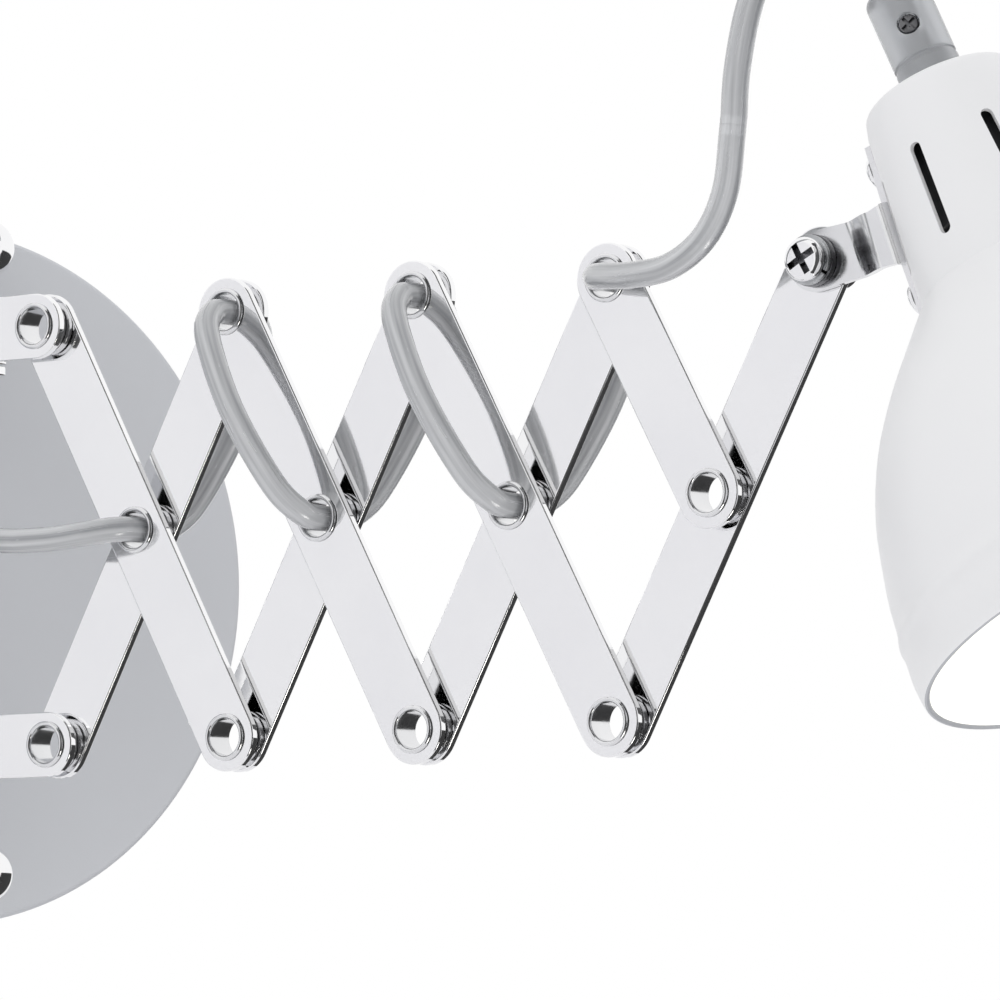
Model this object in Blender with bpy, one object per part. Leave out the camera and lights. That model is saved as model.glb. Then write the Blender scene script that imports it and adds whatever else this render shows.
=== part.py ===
"""A wall lamp on a scissor arm, built from its separate pieces.

The origin is the centre of the wall plate's back. The wall is the plane Y = 0, the lamp stands out
towards -Y and +Z is up. Three kinds of frame are used:

- the wall frame: X right along the wall, Y up, Z straight out from the wall
- the arm frame: X out along the arm, Y up, Z to the arm's front, with the rod as its origin
- the shade frame: Z down the shade's axis from the top of its neck, X away from the arm
"""

from math import asin, atan2, cos, pi, radians, sin

import bmesh
import bpy
from mathutils import Matrix, Vector

MM = 0.001

# Fits
GAP = 0.3 * MM
RUNNING_GAP = 0.2 * MM

# Wall plate and what is behind it
PLATE_RADIUS = 79.5 * MM
PLATE_DEPTH = 14 * MM
PLATE_SHEET = 1.2 * MM
PLATE_EDGE = 1.5 * MM
STRAP_THICKNESS = 2 * MM
STRAP_HALF_WIDTH = 10 * MM
LUG_HEIGHT = 11 * MM
RIM_SCREW_DEPTH = 7 * MM
RIM_SCREW_RADIUS = 1.5 * MM
RIM_SCREW_HEAD = 3 * MM
RIM_SCREW_HEAD_HEIGHT = 1.2 * MM
RIM_SCREW_END = 71.5 * MM
WALL_HOLE_OFFSET = 30 * MM
WALL_HOLE_RADIUS = 2.5 * MM
TERMINAL_SIZE = (22 * MM, 12 * MM, 9 * MM)
TERMINAL_PLACE = (-8 * MM, 32 * MM)
TERMINAL_WELL = 2 * MM
TERMINAL_PITCH = 6.875 * MM

# Rod on its two balls
ROD_OUT = 34.7 * MM
ROD_RADIUS = 3 * MM
UPPER_BALL = 72.2 * MM
LOWER_BALL = -68.2 * MM
BALL_RADIUS = 6.75 * MM
POST_RADIUS = 3 * MM
STUD_RADIUS = 2 * MM
STUD_LENGTH = 4.5 * MM
POST_NUT_RADIUS = 4 * MM
POST_NUT_HEIGHT = 3 * MM
SOCKET_RADIUS = 3.3 * MM
SOCKET_FLOOR = 2.5 * MM
COLLAR_RADIUS = 5 * MM
COLLAR_HEIGHT = 2.2 * MM

# Scissor arm
ARM_YAW = radians(21.2)
HALF_BAR = 53 * MM
BAR_LEAN = radians(28.6)
FIRST_PIVOT_OUT = 18.9 * MM
TOP_ROW = 53 * MM
BAR_WIDTH = 15 * MM
SHEET = 2 * MM
LAYER_PITCH = 4.2 * MM
FRONT_LAYER = 0.0
REAR_LAYER = -LAYER_PITCH
UPPER_EAR_LAYER = LAYER_PITCH
BRACKET_HEIGHT = 14.5 * MM
BARREL_BORE = 3.25 * MM
SLEEVE_RADIUS = 4.8 * MM
TRIM_REACH = 20 * MM

# Hollow eyelets
EYELET_BORE = 4.1 * MM
EYELET_TUBE = 4.6 * MM
EYELET_HOLE = 4.8 * MM
EYELET_RIM = 5.2 * MM
EYELET_COLLAR = 6 * MM
EYELET_RIM_HEIGHT = 0.8 * MM

# Tilt joint
SCREW_RADIUS = 2 * MM
SCREW_HOLE = 2.3 * MM
HEAD_SHEET = 1.5 * MM
EAR_RADIUS = 6.3 * MM
STRAP_START = -4.5 * MM
STRAP_END = -13.5 * MM
STRAP_BEND = 2.2 * MM
TRIM_SPARE = 1 * MM
WASHER_RADIUS = 5.4 * MM
FRONT_WASHER = 1.6 * MM
SPRING_WASHER_RADIUS = 5.25 * MM
SPRING_WASHER = 1 * MM
SCREW_HEAD_RADIUS = 4.6 * MM
SCREW_HEAD = 2.5 * MM
REAR_WASHER = 1.2 * MM
TILT_NUT = 4.4 * MM

# Shade
NECK_TOP = (251.92 * MM, 85.33 * MM)
SHADE_LAYER = -2.1 * MM
SHADE_LEAN = radians(26.14)
SHADE_SHEET = 1.2 * MM
NECK_BORE = 5.2 * MM
SHADE_OUTLINE = (
    (16.4, 0),
    (17.2, 4),
    (20.8, 38),
    (21.1, 42),
    (28.2, 50.5),
    (34.9, 58.6),
    (41.7, 68.7),
    (47.1, 80.8),
    (50.2, 93),
    (51.2, 98),
    (52.4, 100),
    (51.8, 102.5),
    (52.8, 111),
    (52.4, 119),
)
SLOT_COUNT = 7
FIRST_SLOT = radians(42)
SLOT_ENDS = (13.7 * MM, 34.8 * MM)
SLOT_WIDTH = 2.6 * MM
BASE_ENDS = (2.5 * MM, 40 * MM)
BRACKET_SCREW_PLACES = (7.5 * MM, 35.7 * MM)
BASE_WIDTH = 10 * MM
DOME_RADIUS = 3.75 * MM
DOME_HEIGHT = 2 * MM
BRACKET_SCREW_RADIUS = 1.5 * MM
BRACKET_SCREW_HOLE = 1.8 * MM
BRACKET_SCREW_LENGTH = 4 * MM
BRACKET_HEIGHT_ON_NECK = 16 * MM

# Lampholder and cord grip
HOLDER_RADIUS = 13.5 * MM
HOLDER_ENDS = (4.5 * MM, 52 * MM)
SOCKET_MOUTH = 7.2 * MM
SOCKET_DEPTH = 27 * MM
NIPPLE_RADIUS = 4.9 * MM
NIPPLE_BORE = 3.5 * MM
NIPPLE_TOP = -8 * MM
NIPPLE_NUT_RADIUS = 7.5 * MM
NIPPLE_NUT_HEIGHT = 2.6 * MM
GRIP_RADIUS = 6.75 * MM
GRIP_HEIGHT = 24 * MM
GRIP_SCREW_HEIGHT = 14 * MM
GRIP_SCREW_RADIUS = 2.1 * MM
GRIP_SCREW_TURN = radians(64)

# Cable
CABLE_DIAMETER = 5.6 * MM
CABLE_POINT_PITCH = 9 * MM
CABLE_GAP = 0.3 * MM
CABLE_EXIT = (-12 * MM, 9 * MM)
GROMMET_NECK = CABLE_DIAMETER / 2 + 1.2 * MM
GROMMET_FLANGE = GROMMET_NECK + 1.6 * MM
GROMMET_LIP = 1.8 * MM
JOINT_STRAIGHT = 2 * MM
BULGE = 13 * MM

# The two free runs of the cable, in millimetres in the arm frame: out along the arm, up, and to the
# front. Each is the points before its middle joint, the joint, and the points after it.
WALL_RUN = (
    (
        (-29.2, 9, 1.5),
        (-19.9, 9, 5.1),
        (-13.5, 8.8, 8.3),
        (-4, 8, 11.6),
        (8, 6, 13.5),
    ),
    (20, 4.4, 13.8),
    (
        (30, 4.4, 12.6),
        (37.5, 5.2, 10.8),
        (42, 6, 8),
        (44.1, 6.4, 4.6),
        (44.27, 6.47, 1.5),
        (44.27, 6.47, -1.9),
    ),
)
HEAD_RUN = (
    (
        (171.12, 53, -1.9),
        (171.12, 53, 2),
        (172.4, 52.6, 6.5),
        (177.2, 52.1, 10.5),
        (186, 51.4, 13),
        (196.5, 52.4, 14),
        (205.3, 57.6, 14.5),
        (210.8, 66.5, 15),
    ),
    (212.9, 80, 15),
    (
        (213.4, 92, 14),
        (215, 105.5, 11.5),
        (218.8, 116.5, 8.5),
        (225, 122.6, 5),
        (232, 121, 1.2),
        (237, 115, -1.4),
        (240.3, 108.9, -2.1),
        (243.1, 103.28, -2.1),
        (246.2, 97, -2.1),
        (247.4, 94.5, -2.1),
    ),
)

# Roundness
FINE = 40
ROUND = 20
PIVOT_SIDES = 14

UP = Vector((0, 0, 1))


def clear_scene():
    for leftover in list(bpy.data.objects):
        bpy.data.objects.remove(leftover, do_unlink=True)


# ---------------------------------------------------------------- materials


def material(name, colour, metallic, roughness, alpha=1.0):
    made = bpy.data.materials.new(name)
    made.use_nodes = True
    shader = made.node_tree.nodes["Principled BSDF"]
    shader.inputs["Base Color"].default_value = (*colour, 1.0)
    shader.inputs["Metallic"].default_value = metallic
    shader.inputs["Roughness"].default_value = roughness
    shader.inputs["Alpha"].default_value = alpha
    return made


def make_materials():
    return {
        "lacquer": material("white_lacquer", (0.80, 0.80, 0.81), 0.0, 0.45),
        "plate": material("grey_lacquer", (0.55, 0.56, 0.58), 0.2, 0.5),
        "chrome": material("chrome", (0.83, 0.83, 0.84), 1.0, 0.08),
        "steel": material("zinc_steel", (0.60, 0.61, 0.62), 1.0, 0.35),
        "clear": material("clear_plastic", (0.90, 0.92, 0.93), 0.0, 0.1, 0.5),
        "cable": material("clear_cable", (0.55, 0.57, 0.60), 0.1, 0.3),
        "rubber": material("grommet_rubber", (0.70, 0.71, 0.72), 0.0, 0.6),
        "phenolic": material("phenolic", (0.04, 0.04, 0.045), 0.0, 0.4),
        "nylon": material("terminal_nylon", (0.88, 0.88, 0.86), 0.0, 0.5),
    }


# ---------------------------------------------------------------- shapes


def circle(radius, sides, centre=(0.0, 0.0), start=0.0, turn=2 * pi):
    """Points on a full circle, or on part of one with both its ends."""
    whole = abs(turn - 2 * pi) < 1e-6
    count = sides if whole else sides + 1
    points = []
    for step in range(count):
        angle = start + turn * step / sides
        points.append((centre[0] + radius * cos(angle), centre[1] + radius * sin(angle)))
    return points


def stadium(start, end, radius, sides=7):
    """The outline of a strip with two round ends, along X."""
    right = circle(radius, sides, (end, 0.0), -pi / 2, pi)
    left = circle(radius, sides, (start, 0.0), pi / 2, pi)
    return right + left


def sheet(outline, holes, low, high):
    """A flat piece with this outline and these holes, between two heights along Z."""
    shape = bmesh.new()
    edges = []
    for loop in (outline, *holes):
        corners = [shape.verts.new((x, y, low)) for x, y in loop]
        for index, corner in enumerate(corners):
            edges.append(shape.edges.new((corners[index - 1], corner)))
    bmesh.ops.triangle_fill(shape, use_beauty=True, edges=edges)
    raised = bmesh.ops.extrude_face_region(shape, geom=shape.faces[:], use_keep_orig=True)
    lifted = [part for part in raised["geom"] if isinstance(part, bmesh.types.BMVert)]
    bmesh.ops.translate(shape, vec=(0, 0, high - low), verts=lifted)
    bmesh.ops.recalc_face_normals(shape, faces=shape.faces[:])
    return shape


def turned(profile, sides=ROUND):
    """A piece turned about Z from (radius, height) points. A radius of 0 closes an end."""
    shape = bmesh.new()
    rings = []
    for radius, height in profile:
        if radius == 0:
            rings.append([shape.verts.new((0, 0, height))])
            continue
        rings.append([shape.verts.new((x, y, height)) for x, y in circle(radius, sides)])
    solid = profile[0][0] == 0
    pairs = list(zip(rings, rings[1:]))
    if not solid:
        pairs.append((rings[-1], rings[0]))
    for first, second in pairs:
        for index in range(sides):
            corners = [first[index % len(first)], first[(index + 1) % len(first)]]
            corners += [second[(index + 1) % len(second)], second[index % len(second)]]
            unique = list(dict.fromkeys(corners))
            shape.faces.new(unique)
    bmesh.ops.recalc_face_normals(shape, faces=shape.faces[:])
    return shape


def ring(bore, radius, low, high, sides=ROUND):
    return turned([(bore, low), (radius, low), (radius, high), (bore, high)], sides)


def rod(radius, low, high, sides=ROUND):
    return turned([(0, low), (radius, low), (radius, high), (0, high)], sides)


def box(size, centre=(0, 0, 0)):
    shape = bmesh.new()
    bmesh.ops.create_cube(shape, size=1.0)
    bmesh.ops.scale(shape, vec=size, verts=shape.verts[:])
    bmesh.ops.translate(shape, vec=centre, verts=shape.verts[:])
    return shape


def hexagon(radius, bore, low, high):
    return sheet(circle(radius, 6), [circle(bore, PIVOT_SIDES)], low, high)


def moved(shape, matrix):
    bmesh.ops.transform(shape, matrix=matrix, verts=shape.verts[:])
    return shape


def joined(shapes):
    """Several separate closed shapes as one mesh, for a cutter."""
    whole = bmesh.new()
    for shape in shapes:
        part = bpy.data.meshes.new("part")
        shape.to_mesh(part)
        shape.free()
        whole.from_mesh(part)
        bpy.data.meshes.remove(part)
    return whole


# ---------------------------------------------------------------- objects and frames


def frame(name, matrix, parent=None):
    """An empty that holds the pieces of one body, with its origin on that body's joint axis."""
    holder = bpy.data.objects.new(name, None)
    holder.empty_display_size = 10 * MM
    holder.parent = parent
    holder.matrix_basis = matrix
    bpy.context.scene.collection.objects.link(holder)
    return holder


def piece(name, shape, look, parent, place=None, sharp=radians(35)):
    mesh = bpy.data.meshes.new(name)
    shape.to_mesh(mesh)
    shape.free()
    mesh.shade_smooth()
    mesh.set_sharp_from_angle(angle=sharp)
    mesh.materials.append(look)
    made = bpy.data.objects.new(name, mesh)
    made.parent = parent
    made.matrix_basis = place or Matrix.Identity(4)
    bpy.context.scene.collection.objects.link(made)
    return made


def combine(target, operation, shape, name):
    """Cuts a shape out of a piece, or keeps only what is inside it, in the piece's own frame."""
    mesh = bpy.data.meshes.new(name)
    shape.to_mesh(mesh)
    shape.free()
    cutter = bpy.data.objects.new(name, mesh)
    cutter.parent = target.parent
    cutter.matrix_basis = target.matrix_basis
    cutter.hide_render = True
    cutter.display_type = "WIRE"
    bpy.context.scene.collection.objects.link(cutter)
    cut = target.modifiers.new(name, "BOOLEAN")
    cut.operation = operation
    cut.solver = "EXACT"
    cut.object = cutter


def drilled(target, name, radius, low, high, place=None, sides=PIVOT_SIDES):
    shape = rod(radius, low, high, sides)
    combine(target, "DIFFERENCE", moved(shape, place or Matrix.Identity(4)), name)


def smooth_points(route, pitch):
    """Evenly spaced points on a smooth curve through a route, whose first and last steps stay straight."""
    stops = [Vector(stop) for stop in route]
    dense = []
    for before, start, end, after in zip(stops, stops[1:], stops[2:], stops[3:]):
        for step in range(24):
            t = step / 24
            point = 2 * start + (end - before) * t
            point += (2 * before - 5 * start + 4 * end - after) * t**2
            point += (3 * start - before - 3 * end + after) * t**3
            dense.append(point / 2)
    dense.append(stops[-2])
    lengths = [0.0]
    for start, end in zip(dense, dense[1:]):
        lengths.append(lengths[-1] + (end - start).length)
    count = max(3, round(lengths[-1] / pitch))
    points = []
    reached = 0
    for step in range(count + 1):
        wanted = lengths[-1] * step / count
        while reached < len(dense) - 2 and lengths[reached + 1] < wanted:
            reached += 1
        span = lengths[reached + 1] - lengths[reached]
        part = (wanted - lengths[reached]) / span
        points.append(dense[reached].lerp(dense[reached + 1], part))
    return [stops[0], *points, stops[-1]]


def cable(name, route, look, parent):
    """A length of round cable along a smooth route in its parent's frame."""
    curve = bpy.data.curves.new(name, "CURVE")
    curve.dimensions = "3D"
    curve.bevel_depth = CABLE_DIAMETER / 2
    curve.bevel_resolution = 2
    curve.use_fill_caps = True
    points = smooth_points(route, CABLE_POINT_PITCH)
    spline = curve.splines.new("POLY")
    spline.points.add(len(points) - 1)
    for spot, point in zip(spline.points, points):
        spot.co = (*point, 1.0)
    curve.materials.append(look)
    made = bpy.data.objects.new(name, curve)
    made.parent = parent
    bpy.context.scene.collection.objects.link(made)
    return made


# ---------------------------------------------------------------- wall plate


def wall_matrix(x, z, depth=0.0):
    """The wall frame moved to a place on the wall, at a distance out from it."""
    turn = Matrix.Rotation(pi / 2, 4, "X")
    return Matrix.Translation((x, -depth, z)) @ turn


def make_wall_plate(looks, root):
    back = PLATE_DEPTH - PLATE_SHEET
    inner = PLATE_RADIUS - PLATE_SHEET
    bend = PLATE_RADIUS - PLATE_EDGE
    edge = circle(PLATE_EDGE, 3, (bend, PLATE_DEPTH - PLATE_EDGE), pi / 2, -pi / 2)
    profile = [(0, PLATE_DEPTH), *edge, (PLATE_RADIUS, 0), (inner, 0), (inner, back), (0, back)]
    plate = piece("wall_plate", turned(profile, FINE), looks["plate"], root, wall_matrix(0, 0))
    holes = []
    for height in (UPPER_BALL, LOWER_BALL):
        stud_hole = rod(STUD_RADIUS + GAP, back - SHEET, PLATE_DEPTH + SHEET, PIVOT_SIDES)
        holes.append(moved(stud_hole, Matrix.Translation((0, height, 0))))
    grommet_hole = rod(GROMMET_NECK + GAP, back - SHEET, PLATE_DEPTH + SHEET, ROUND)
    holes.append(moved(grommet_hole, Matrix.Translation((*CABLE_EXIT, 0))))
    for side in (-1, 1):
        low = side * (PLATE_RADIUS - 2 * SHEET)
        high = side * (PLATE_RADIUS + SHEET)
        rim_hole = rod(RIM_SCREW_RADIUS + GAP, min(low, high), max(low, high), PIVOT_SIDES)
        turn = Matrix.Translation((0, 0, RIM_SCREW_DEPTH)) @ Matrix.Rotation(pi / 2, 4, "Y")
        holes.append(moved(rim_hole, turn))
    combine(plate, "DIFFERENCE", joined(holes), "plate_holes")


def make_wall_strap(looks, root):
    """The bar that is screwed to the wall; the plate's rim is screwed to its two lugs."""
    reach = PLATE_RADIUS - PLATE_SHEET - GAP
    inside = reach - STRAP_THICKNESS
    outline = [
        (-reach, 0),
        (reach, 0),
        (reach, LUG_HEIGHT),
        (inside, LUG_HEIGHT),
        (inside, STRAP_THICKNESS),
        (-inside, STRAP_THICKNESS),
        (-inside, LUG_HEIGHT),
        (-reach, LUG_HEIGHT),
    ]
    shape = sheet(outline, [], -STRAP_HALF_WIDTH, STRAP_HALF_WIDTH)
    flat = Matrix.Rotation(pi / 2, 4, "X")
    strap = piece("wall_strap", moved(shape, flat), looks["steel"], root, wall_matrix(0, 0))
    # The plate's rim curves away over the lug's width, so the lug's outer face is turned to suit.
    trim = rod(reach, -SHEET, 2 * LUG_HEIGHT, FINE)
    combine(strap, "INTERSECT", trim, "strap_trim")
    holes = []
    for side in (-1, 1):
        hole = rod(WALL_HOLE_RADIUS, -SHEET, 2 * SHEET, PIVOT_SIDES)
        holes.append(moved(hole, Matrix.Translation((side * WALL_HOLE_OFFSET, 0, 0))))
        low = side * (inside - SHEET)
        high = side * (reach + SHEET)
        lug_hole = rod(RIM_SCREW_RADIUS + GAP, min(low, high), max(low, high), PIVOT_SIDES)
        turn = Matrix.Translation((0, 0, RIM_SCREW_DEPTH)) @ Matrix.Rotation(pi / 2, 4, "Y")
        holes.append(moved(lug_hole, turn))
    combine(strap, "DIFFERENCE", joined(holes), "strap_holes")


def make_rim_screws(looks, root):
    seat = PLATE_RADIUS + GAP
    top = seat + RIM_SCREW_HEAD_HEIGHT
    profile = [
        (0, RIM_SCREW_END),
        (RIM_SCREW_RADIUS, RIM_SCREW_END),
        (RIM_SCREW_RADIUS, seat),
        (RIM_SCREW_HEAD, seat),
        (RIM_SCREW_HEAD * 0.75, top),
        (0, top),
    ]
    for name, turn in (("rim_screw_right", pi / 2), ("rim_screw_left", -pi / 2)):
        place = wall_matrix(0, 0, RIM_SCREW_DEPTH) @ Matrix.Rotation(turn, 4, "Y")
        piece(name, turned(profile, PIVOT_SIDES), looks["steel"], root, place)


def make_terminal_block(looks, root):
    standing = STRAP_THICKNESS + GAP + TERMINAL_SIZE[2] / 2
    place = wall_matrix(*TERMINAL_PLACE, standing)
    block = piece("terminal_block", box(TERMINAL_SIZE), looks["nylon"], root, place)
    wells = []
    for step in (-1, 0, 1):
        well = rod(TERMINAL_WELL, 0, TERMINAL_SIZE[2], PIVOT_SIDES)
        wells.append(moved(well, Matrix.Translation((step * TERMINAL_PITCH, 0, 0))))
    combine(block, "DIFFERENCE", joined(wells), "terminal_wells")


def make_grommet(looks, root):
    back = PLATE_DEPTH - PLATE_SHEET
    bore = CABLE_DIAMETER / 2 + GAP
    profile = [
        (bore, back - GROMMET_LIP),
        (GROMMET_FLANGE, back - GROMMET_LIP),
        (GROMMET_FLANGE, back - GAP),
        (GROMMET_NECK, back - GAP),
        (GROMMET_NECK, PLATE_DEPTH + GAP),
        (GROMMET_FLANGE, PLATE_DEPTH + GAP),
        (GROMMET_FLANGE - GROMMET_LIP / 2, PLATE_DEPTH + GROMMET_LIP),
        (bore, PLATE_DEPTH + GROMMET_LIP),
    ]
    piece("cable_grommet", turned(profile), looks["rubber"], root, wall_matrix(*CABLE_EXIT))


def make_rod_and_balls(looks, root):
    for name, height, side in (("upper", UPPER_BALL, -1), ("lower", LOWER_BALL, 1)):
        middle = wall_matrix(0, height, ROD_OUT)
        arc = circle(BALL_RADIUS, 8, (0, 0), -pi / 2, pi)
        profile = [(0, -BALL_RADIUS), *arc[1:-1], (0, BALL_RADIUS)]
        ball = piece(f"{name}_ball", turned(profile, PIVOT_SIDES), looks["chrome"], root, middle)
        post_socket = rod(SOCKET_RADIUS, -2 * BALL_RADIUS, -SOCKET_FLOOR, PIVOT_SIDES)
        turn = Matrix.Rotation(-side * pi / 2, 4, "X")
        rod_socket = moved(rod(SOCKET_RADIUS, SOCKET_FLOOR + SHEET, 2 * BALL_RADIUS, PIVOT_SIDES), turn)
        combine(ball, "DIFFERENCE", joined([post_socket, rod_socket]), f"{name}_sockets")
        seat = PLATE_DEPTH + GAP
        top = ROD_OUT - SOCKET_FLOOR - GAP
        post_profile = [
            (0, PLATE_DEPTH - STUD_LENGTH),
            (STUD_RADIUS, PLATE_DEPTH - STUD_LENGTH),
            (STUD_RADIUS, seat),
            (POST_RADIUS, seat),
            (POST_RADIUS, top),
            (0, top),
        ]
        foot = wall_matrix(0, height)
        piece(f"{name}_post", turned(post_profile, PIVOT_SIDES), looks["chrome"], root, foot)
        under = PLATE_DEPTH - PLATE_SHEET - GAP
        nut = hexagon(POST_NUT_RADIUS, STUD_RADIUS + GAP, under - POST_NUT_HEIGHT, under)
        piece(f"{name}_post_nut", nut, looks["steel"], root, foot)
    bottom = LOWER_BALL + SOCKET_FLOOR + SHEET + GAP
    top = UPPER_BALL - SOCKET_FLOOR - SHEET - GAP
    upright = Matrix.Translation((0, -ROD_OUT, 0))
    piece("rod", rod(ROD_RADIUS, bottom, top), looks["chrome"], root, upright)
    collar_top = TOP_ROW - BRACKET_HEIGHT / 2 - GAP
    collar = ring(BARREL_BORE, COLLAR_RADIUS, collar_top - COLLAR_HEIGHT, collar_top)
    piece("stop_collar", collar, looks["chrome"], root, upright)


# ---------------------------------------------------------------- scissor arm


def pivot(name):
    """The place of a pivot in the arm frame: T, M or B for its row and a number counted outwards."""
    row = {"T": 0, "M": 1, "B": 2}[name[0]]
    column = 2 * int(name[1]) + row % 2
    out = FIRST_PIVOT_OUT + column * HALF_BAR * sin(BAR_LEAN)
    height = TOP_ROW - row * HALF_BAR * cos(BAR_LEAN)
    return out, height


def arm_place(name, turn=0.0):
    out, height = pivot(name)
    return Matrix.Translation((out, height, 0)) @ Matrix.Rotation(turn, 4, "Z")


FRONT_TURN = BAR_LEAN - pi / 2
REAR_TURN = pi / 2 - BAR_LEAN

# Each bar: its frame's pivot, its turn, its layer, where its ends are along it, and whether its far
# end takes the tilt screw.
BARS = {
    "front_bar_1": ("T0", FRONT_TURN, FRONT_LAYER, (0, 1, 2), False),
    "rear_bar_1": ("M0", REAR_TURN, REAR_LAYER, (-1, 0, 1), False),
    "front_bar_2": ("T1", FRONT_TURN, FRONT_LAYER, (0, 1, 2), False),
    "rear_bar_2": ("M1", REAR_TURN, REAR_LAYER, (-1, 0, 1), False),
    "front_bar_3": ("T2", FRONT_TURN, FRONT_LAYER, (0, 1, 2), False),
    "rear_bar_3": ("M2", REAR_TURN, REAR_LAYER, (-1, 0, 1), False),
    "front_half_bar": ("T3", FRONT_TURN, FRONT_LAYER, (0, 1), False),
    "rear_bar_4": ("M3", REAR_TURN, REAR_LAYER, (-1, 0, 1), True),
}

# Each eyelet: the body that it is fixed in.
EYELETS = {
    "T0": "front_bar_1",
    "M0": "front_bar_1",
    "B1": "front_bar_1",
    "T1": "front_bar_2",
    "M1": "front_bar_2",
    "B2": "front_bar_2",
    "T2": "front_bar_3",
    "M2": "front_bar_3",
    "B3": "front_bar_3",
    "T3": "front_half_bar",
    "M3": "front_half_bar",
    "B0": "lower_bracket",
}


def bar(name, looks, frames):
    _, _, layer, holes, last_takes_screw = BARS[name]
    outline = stadium(holes[0] * HALF_BAR, holes[-1] * HALF_BAR, BAR_WIDTH / 2)
    rims = []
    for hole in holes:
        screw_here = last_takes_screw and hole == holes[-1]
        radius = SCREW_HOLE if screw_here else EYELET_HOLE
        rims.append(circle(radius, PIVOT_SIDES, (hole * HALF_BAR, 0)))
    shape = sheet(outline, rims, layer - SHEET / 2, layer + SHEET / 2)
    piece(name, shape, looks["chrome"], frames[name])


def eyelet(name, looks, frames):
    """A tubular rivet: two rolled rims outside its two bars and a collar that keeps them apart."""
    top_layer = UPPER_EAR_LAYER if name == "T0" else FRONT_LAYER
    front = top_layer + SHEET / 2 + RUNNING_GAP
    back = top_layer - LAYER_PITCH - SHEET / 2 - RUNNING_GAP
    collar_front = top_layer - SHEET / 2 - RUNNING_GAP
    collar_back = top_layer - LAYER_PITCH + SHEET / 2 + RUNNING_GAP
    profile = [
        (EYELET_BORE, front + EYELET_RIM_HEIGHT),
        (EYELET_RIM, front + EYELET_RIM_HEIGHT),
        (EYELET_RIM, front),
        (EYELET_TUBE, front),
        (EYELET_TUBE, collar_front),
        (EYELET_COLLAR, collar_front),
        (EYELET_COLLAR, collar_back),
        (EYELET_TUBE, collar_back),
        (EYELET_TUBE, back),
        (EYELET_RIM, back),
        (EYELET_RIM, back - EYELET_RIM_HEIGHT),
        (EYELET_BORE, back - EYELET_RIM_HEIGHT),
    ]
    body = frames[EYELETS[name]]
    place = body.matrix_basis.inverted() @ arm_place(name)
    row = {"T": "top", "M": "middle", "B": "bottom"}[name[0]]
    piece(f"{row}_eyelet_{name[1]}", turned(profile, PIVOT_SIDES), looks["chrome"], body, place)


def rod_bracket(name, outline, look, body, place):
    """A bracket from its profile seen from above: as tall as its strip, with a round outer end."""
    # The profile is stood up so that its length runs along the rod.
    stand = Matrix(((1, 0, 0, 0), (0, 0, 1, 0), (0, 1, 0, 0), (0, 0, 0, 1)))
    bore = circle(BARREL_BORE, ROUND)
    shape = moved(sheet(outline, [bore], -BRACKET_HEIGHT, BRACKET_HEIGHT), stand)
    bmesh.ops.reverse_faces(shape, faces=shape.faces[:])
    bracket = piece(name, shape, look, body, place)
    half = BRACKET_HEIGHT / 2
    end = circle(half, 10, (FIRST_PIVOT_OUT, 0), -pi / 2, pi)
    kept = [(-BRACKET_HEIGHT, -half), *end, (-BRACKET_HEIGHT, half)]
    combine(bracket, "INTERSECT", sheet(kept, [], -TRIM_REACH, TRIM_REACH), f"{name}_trim")
    across = Matrix.Translation((FIRST_PIVOT_OUT, 0, 0))
    drilled(bracket, f"{name}_hole", EYELET_HOLE, -TRIM_REACH, TRIM_REACH, across)


def make_upper_bracket(looks, body):
    """A strap wrapped round the rod, with its ear running off the front of the barrel."""
    outer = BARREL_BORE + SHEET - RUNNING_GAP / 4
    low = UPPER_EAR_LAYER - SHEET / 2
    high = UPPER_EAR_LAYER + SHEET / 2
    reach = FIRST_PIVOT_OUT + BRACKET_HEIGHT
    end = asin(low / outer)
    wrap = circle(outer, 20, (0, 0), pi / 2, 1.5 * pi + end)
    outline = [(reach, low), (reach, high), *wrap]
    place = Matrix.Translation((0, TOP_ROW, 0))
    rod_bracket("upper_bracket", outline, looks["chrome"], body, place)


def make_lower_bracket(looks, body):
    """A sleeve that slides on the rod, with a flat ear standing straight out of it."""
    half = SHEET / 2
    lean = asin(half / SLEEVE_RADIUS)
    reach = FIRST_PIVOT_OUT + BRACKET_HEIGHT
    wrap = circle(SLEEVE_RADIUS, 20, (0, 0), lean, 2 * pi - 2 * lean)
    outline = [(reach, -half), (reach, half), *wrap]
    place = Matrix.Translation((-FIRST_PIVOT_OUT, 0, 0))
    rod_bracket("lower_bracket", outline, looks["chrome"], body, place)


# ---------------------------------------------------------------- head


def shade_matrix():
    """The shade frame in the frame of the tilt joint."""
    out, height = pivot("T4")
    across = Vector((cos(SHADE_LEAN), sin(SHADE_LEAN), 0))
    down = Vector((sin(SHADE_LEAN), -cos(SHADE_LEAN), 0))
    front = Vector((0, 0, 1))
    turn = Matrix((across, front, down)).transposed().to_4x4()
    place = Vector((NECK_TOP[0] - out, NECK_TOP[1] - height, SHADE_LAYER))
    return Matrix.Translation(place) @ turn


def shade_radius(along):
    """The shade's outer radius at a distance down its axis."""
    outline = [(radius * MM, height * MM) for radius, height in SHADE_OUTLINE]
    for (near, start), (far, end) in zip(outline, outline[1:]):
        if start <= along <= end:
            return near + (far - near) * (along - start) / (end - start)
    return outline[-1][0]


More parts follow.
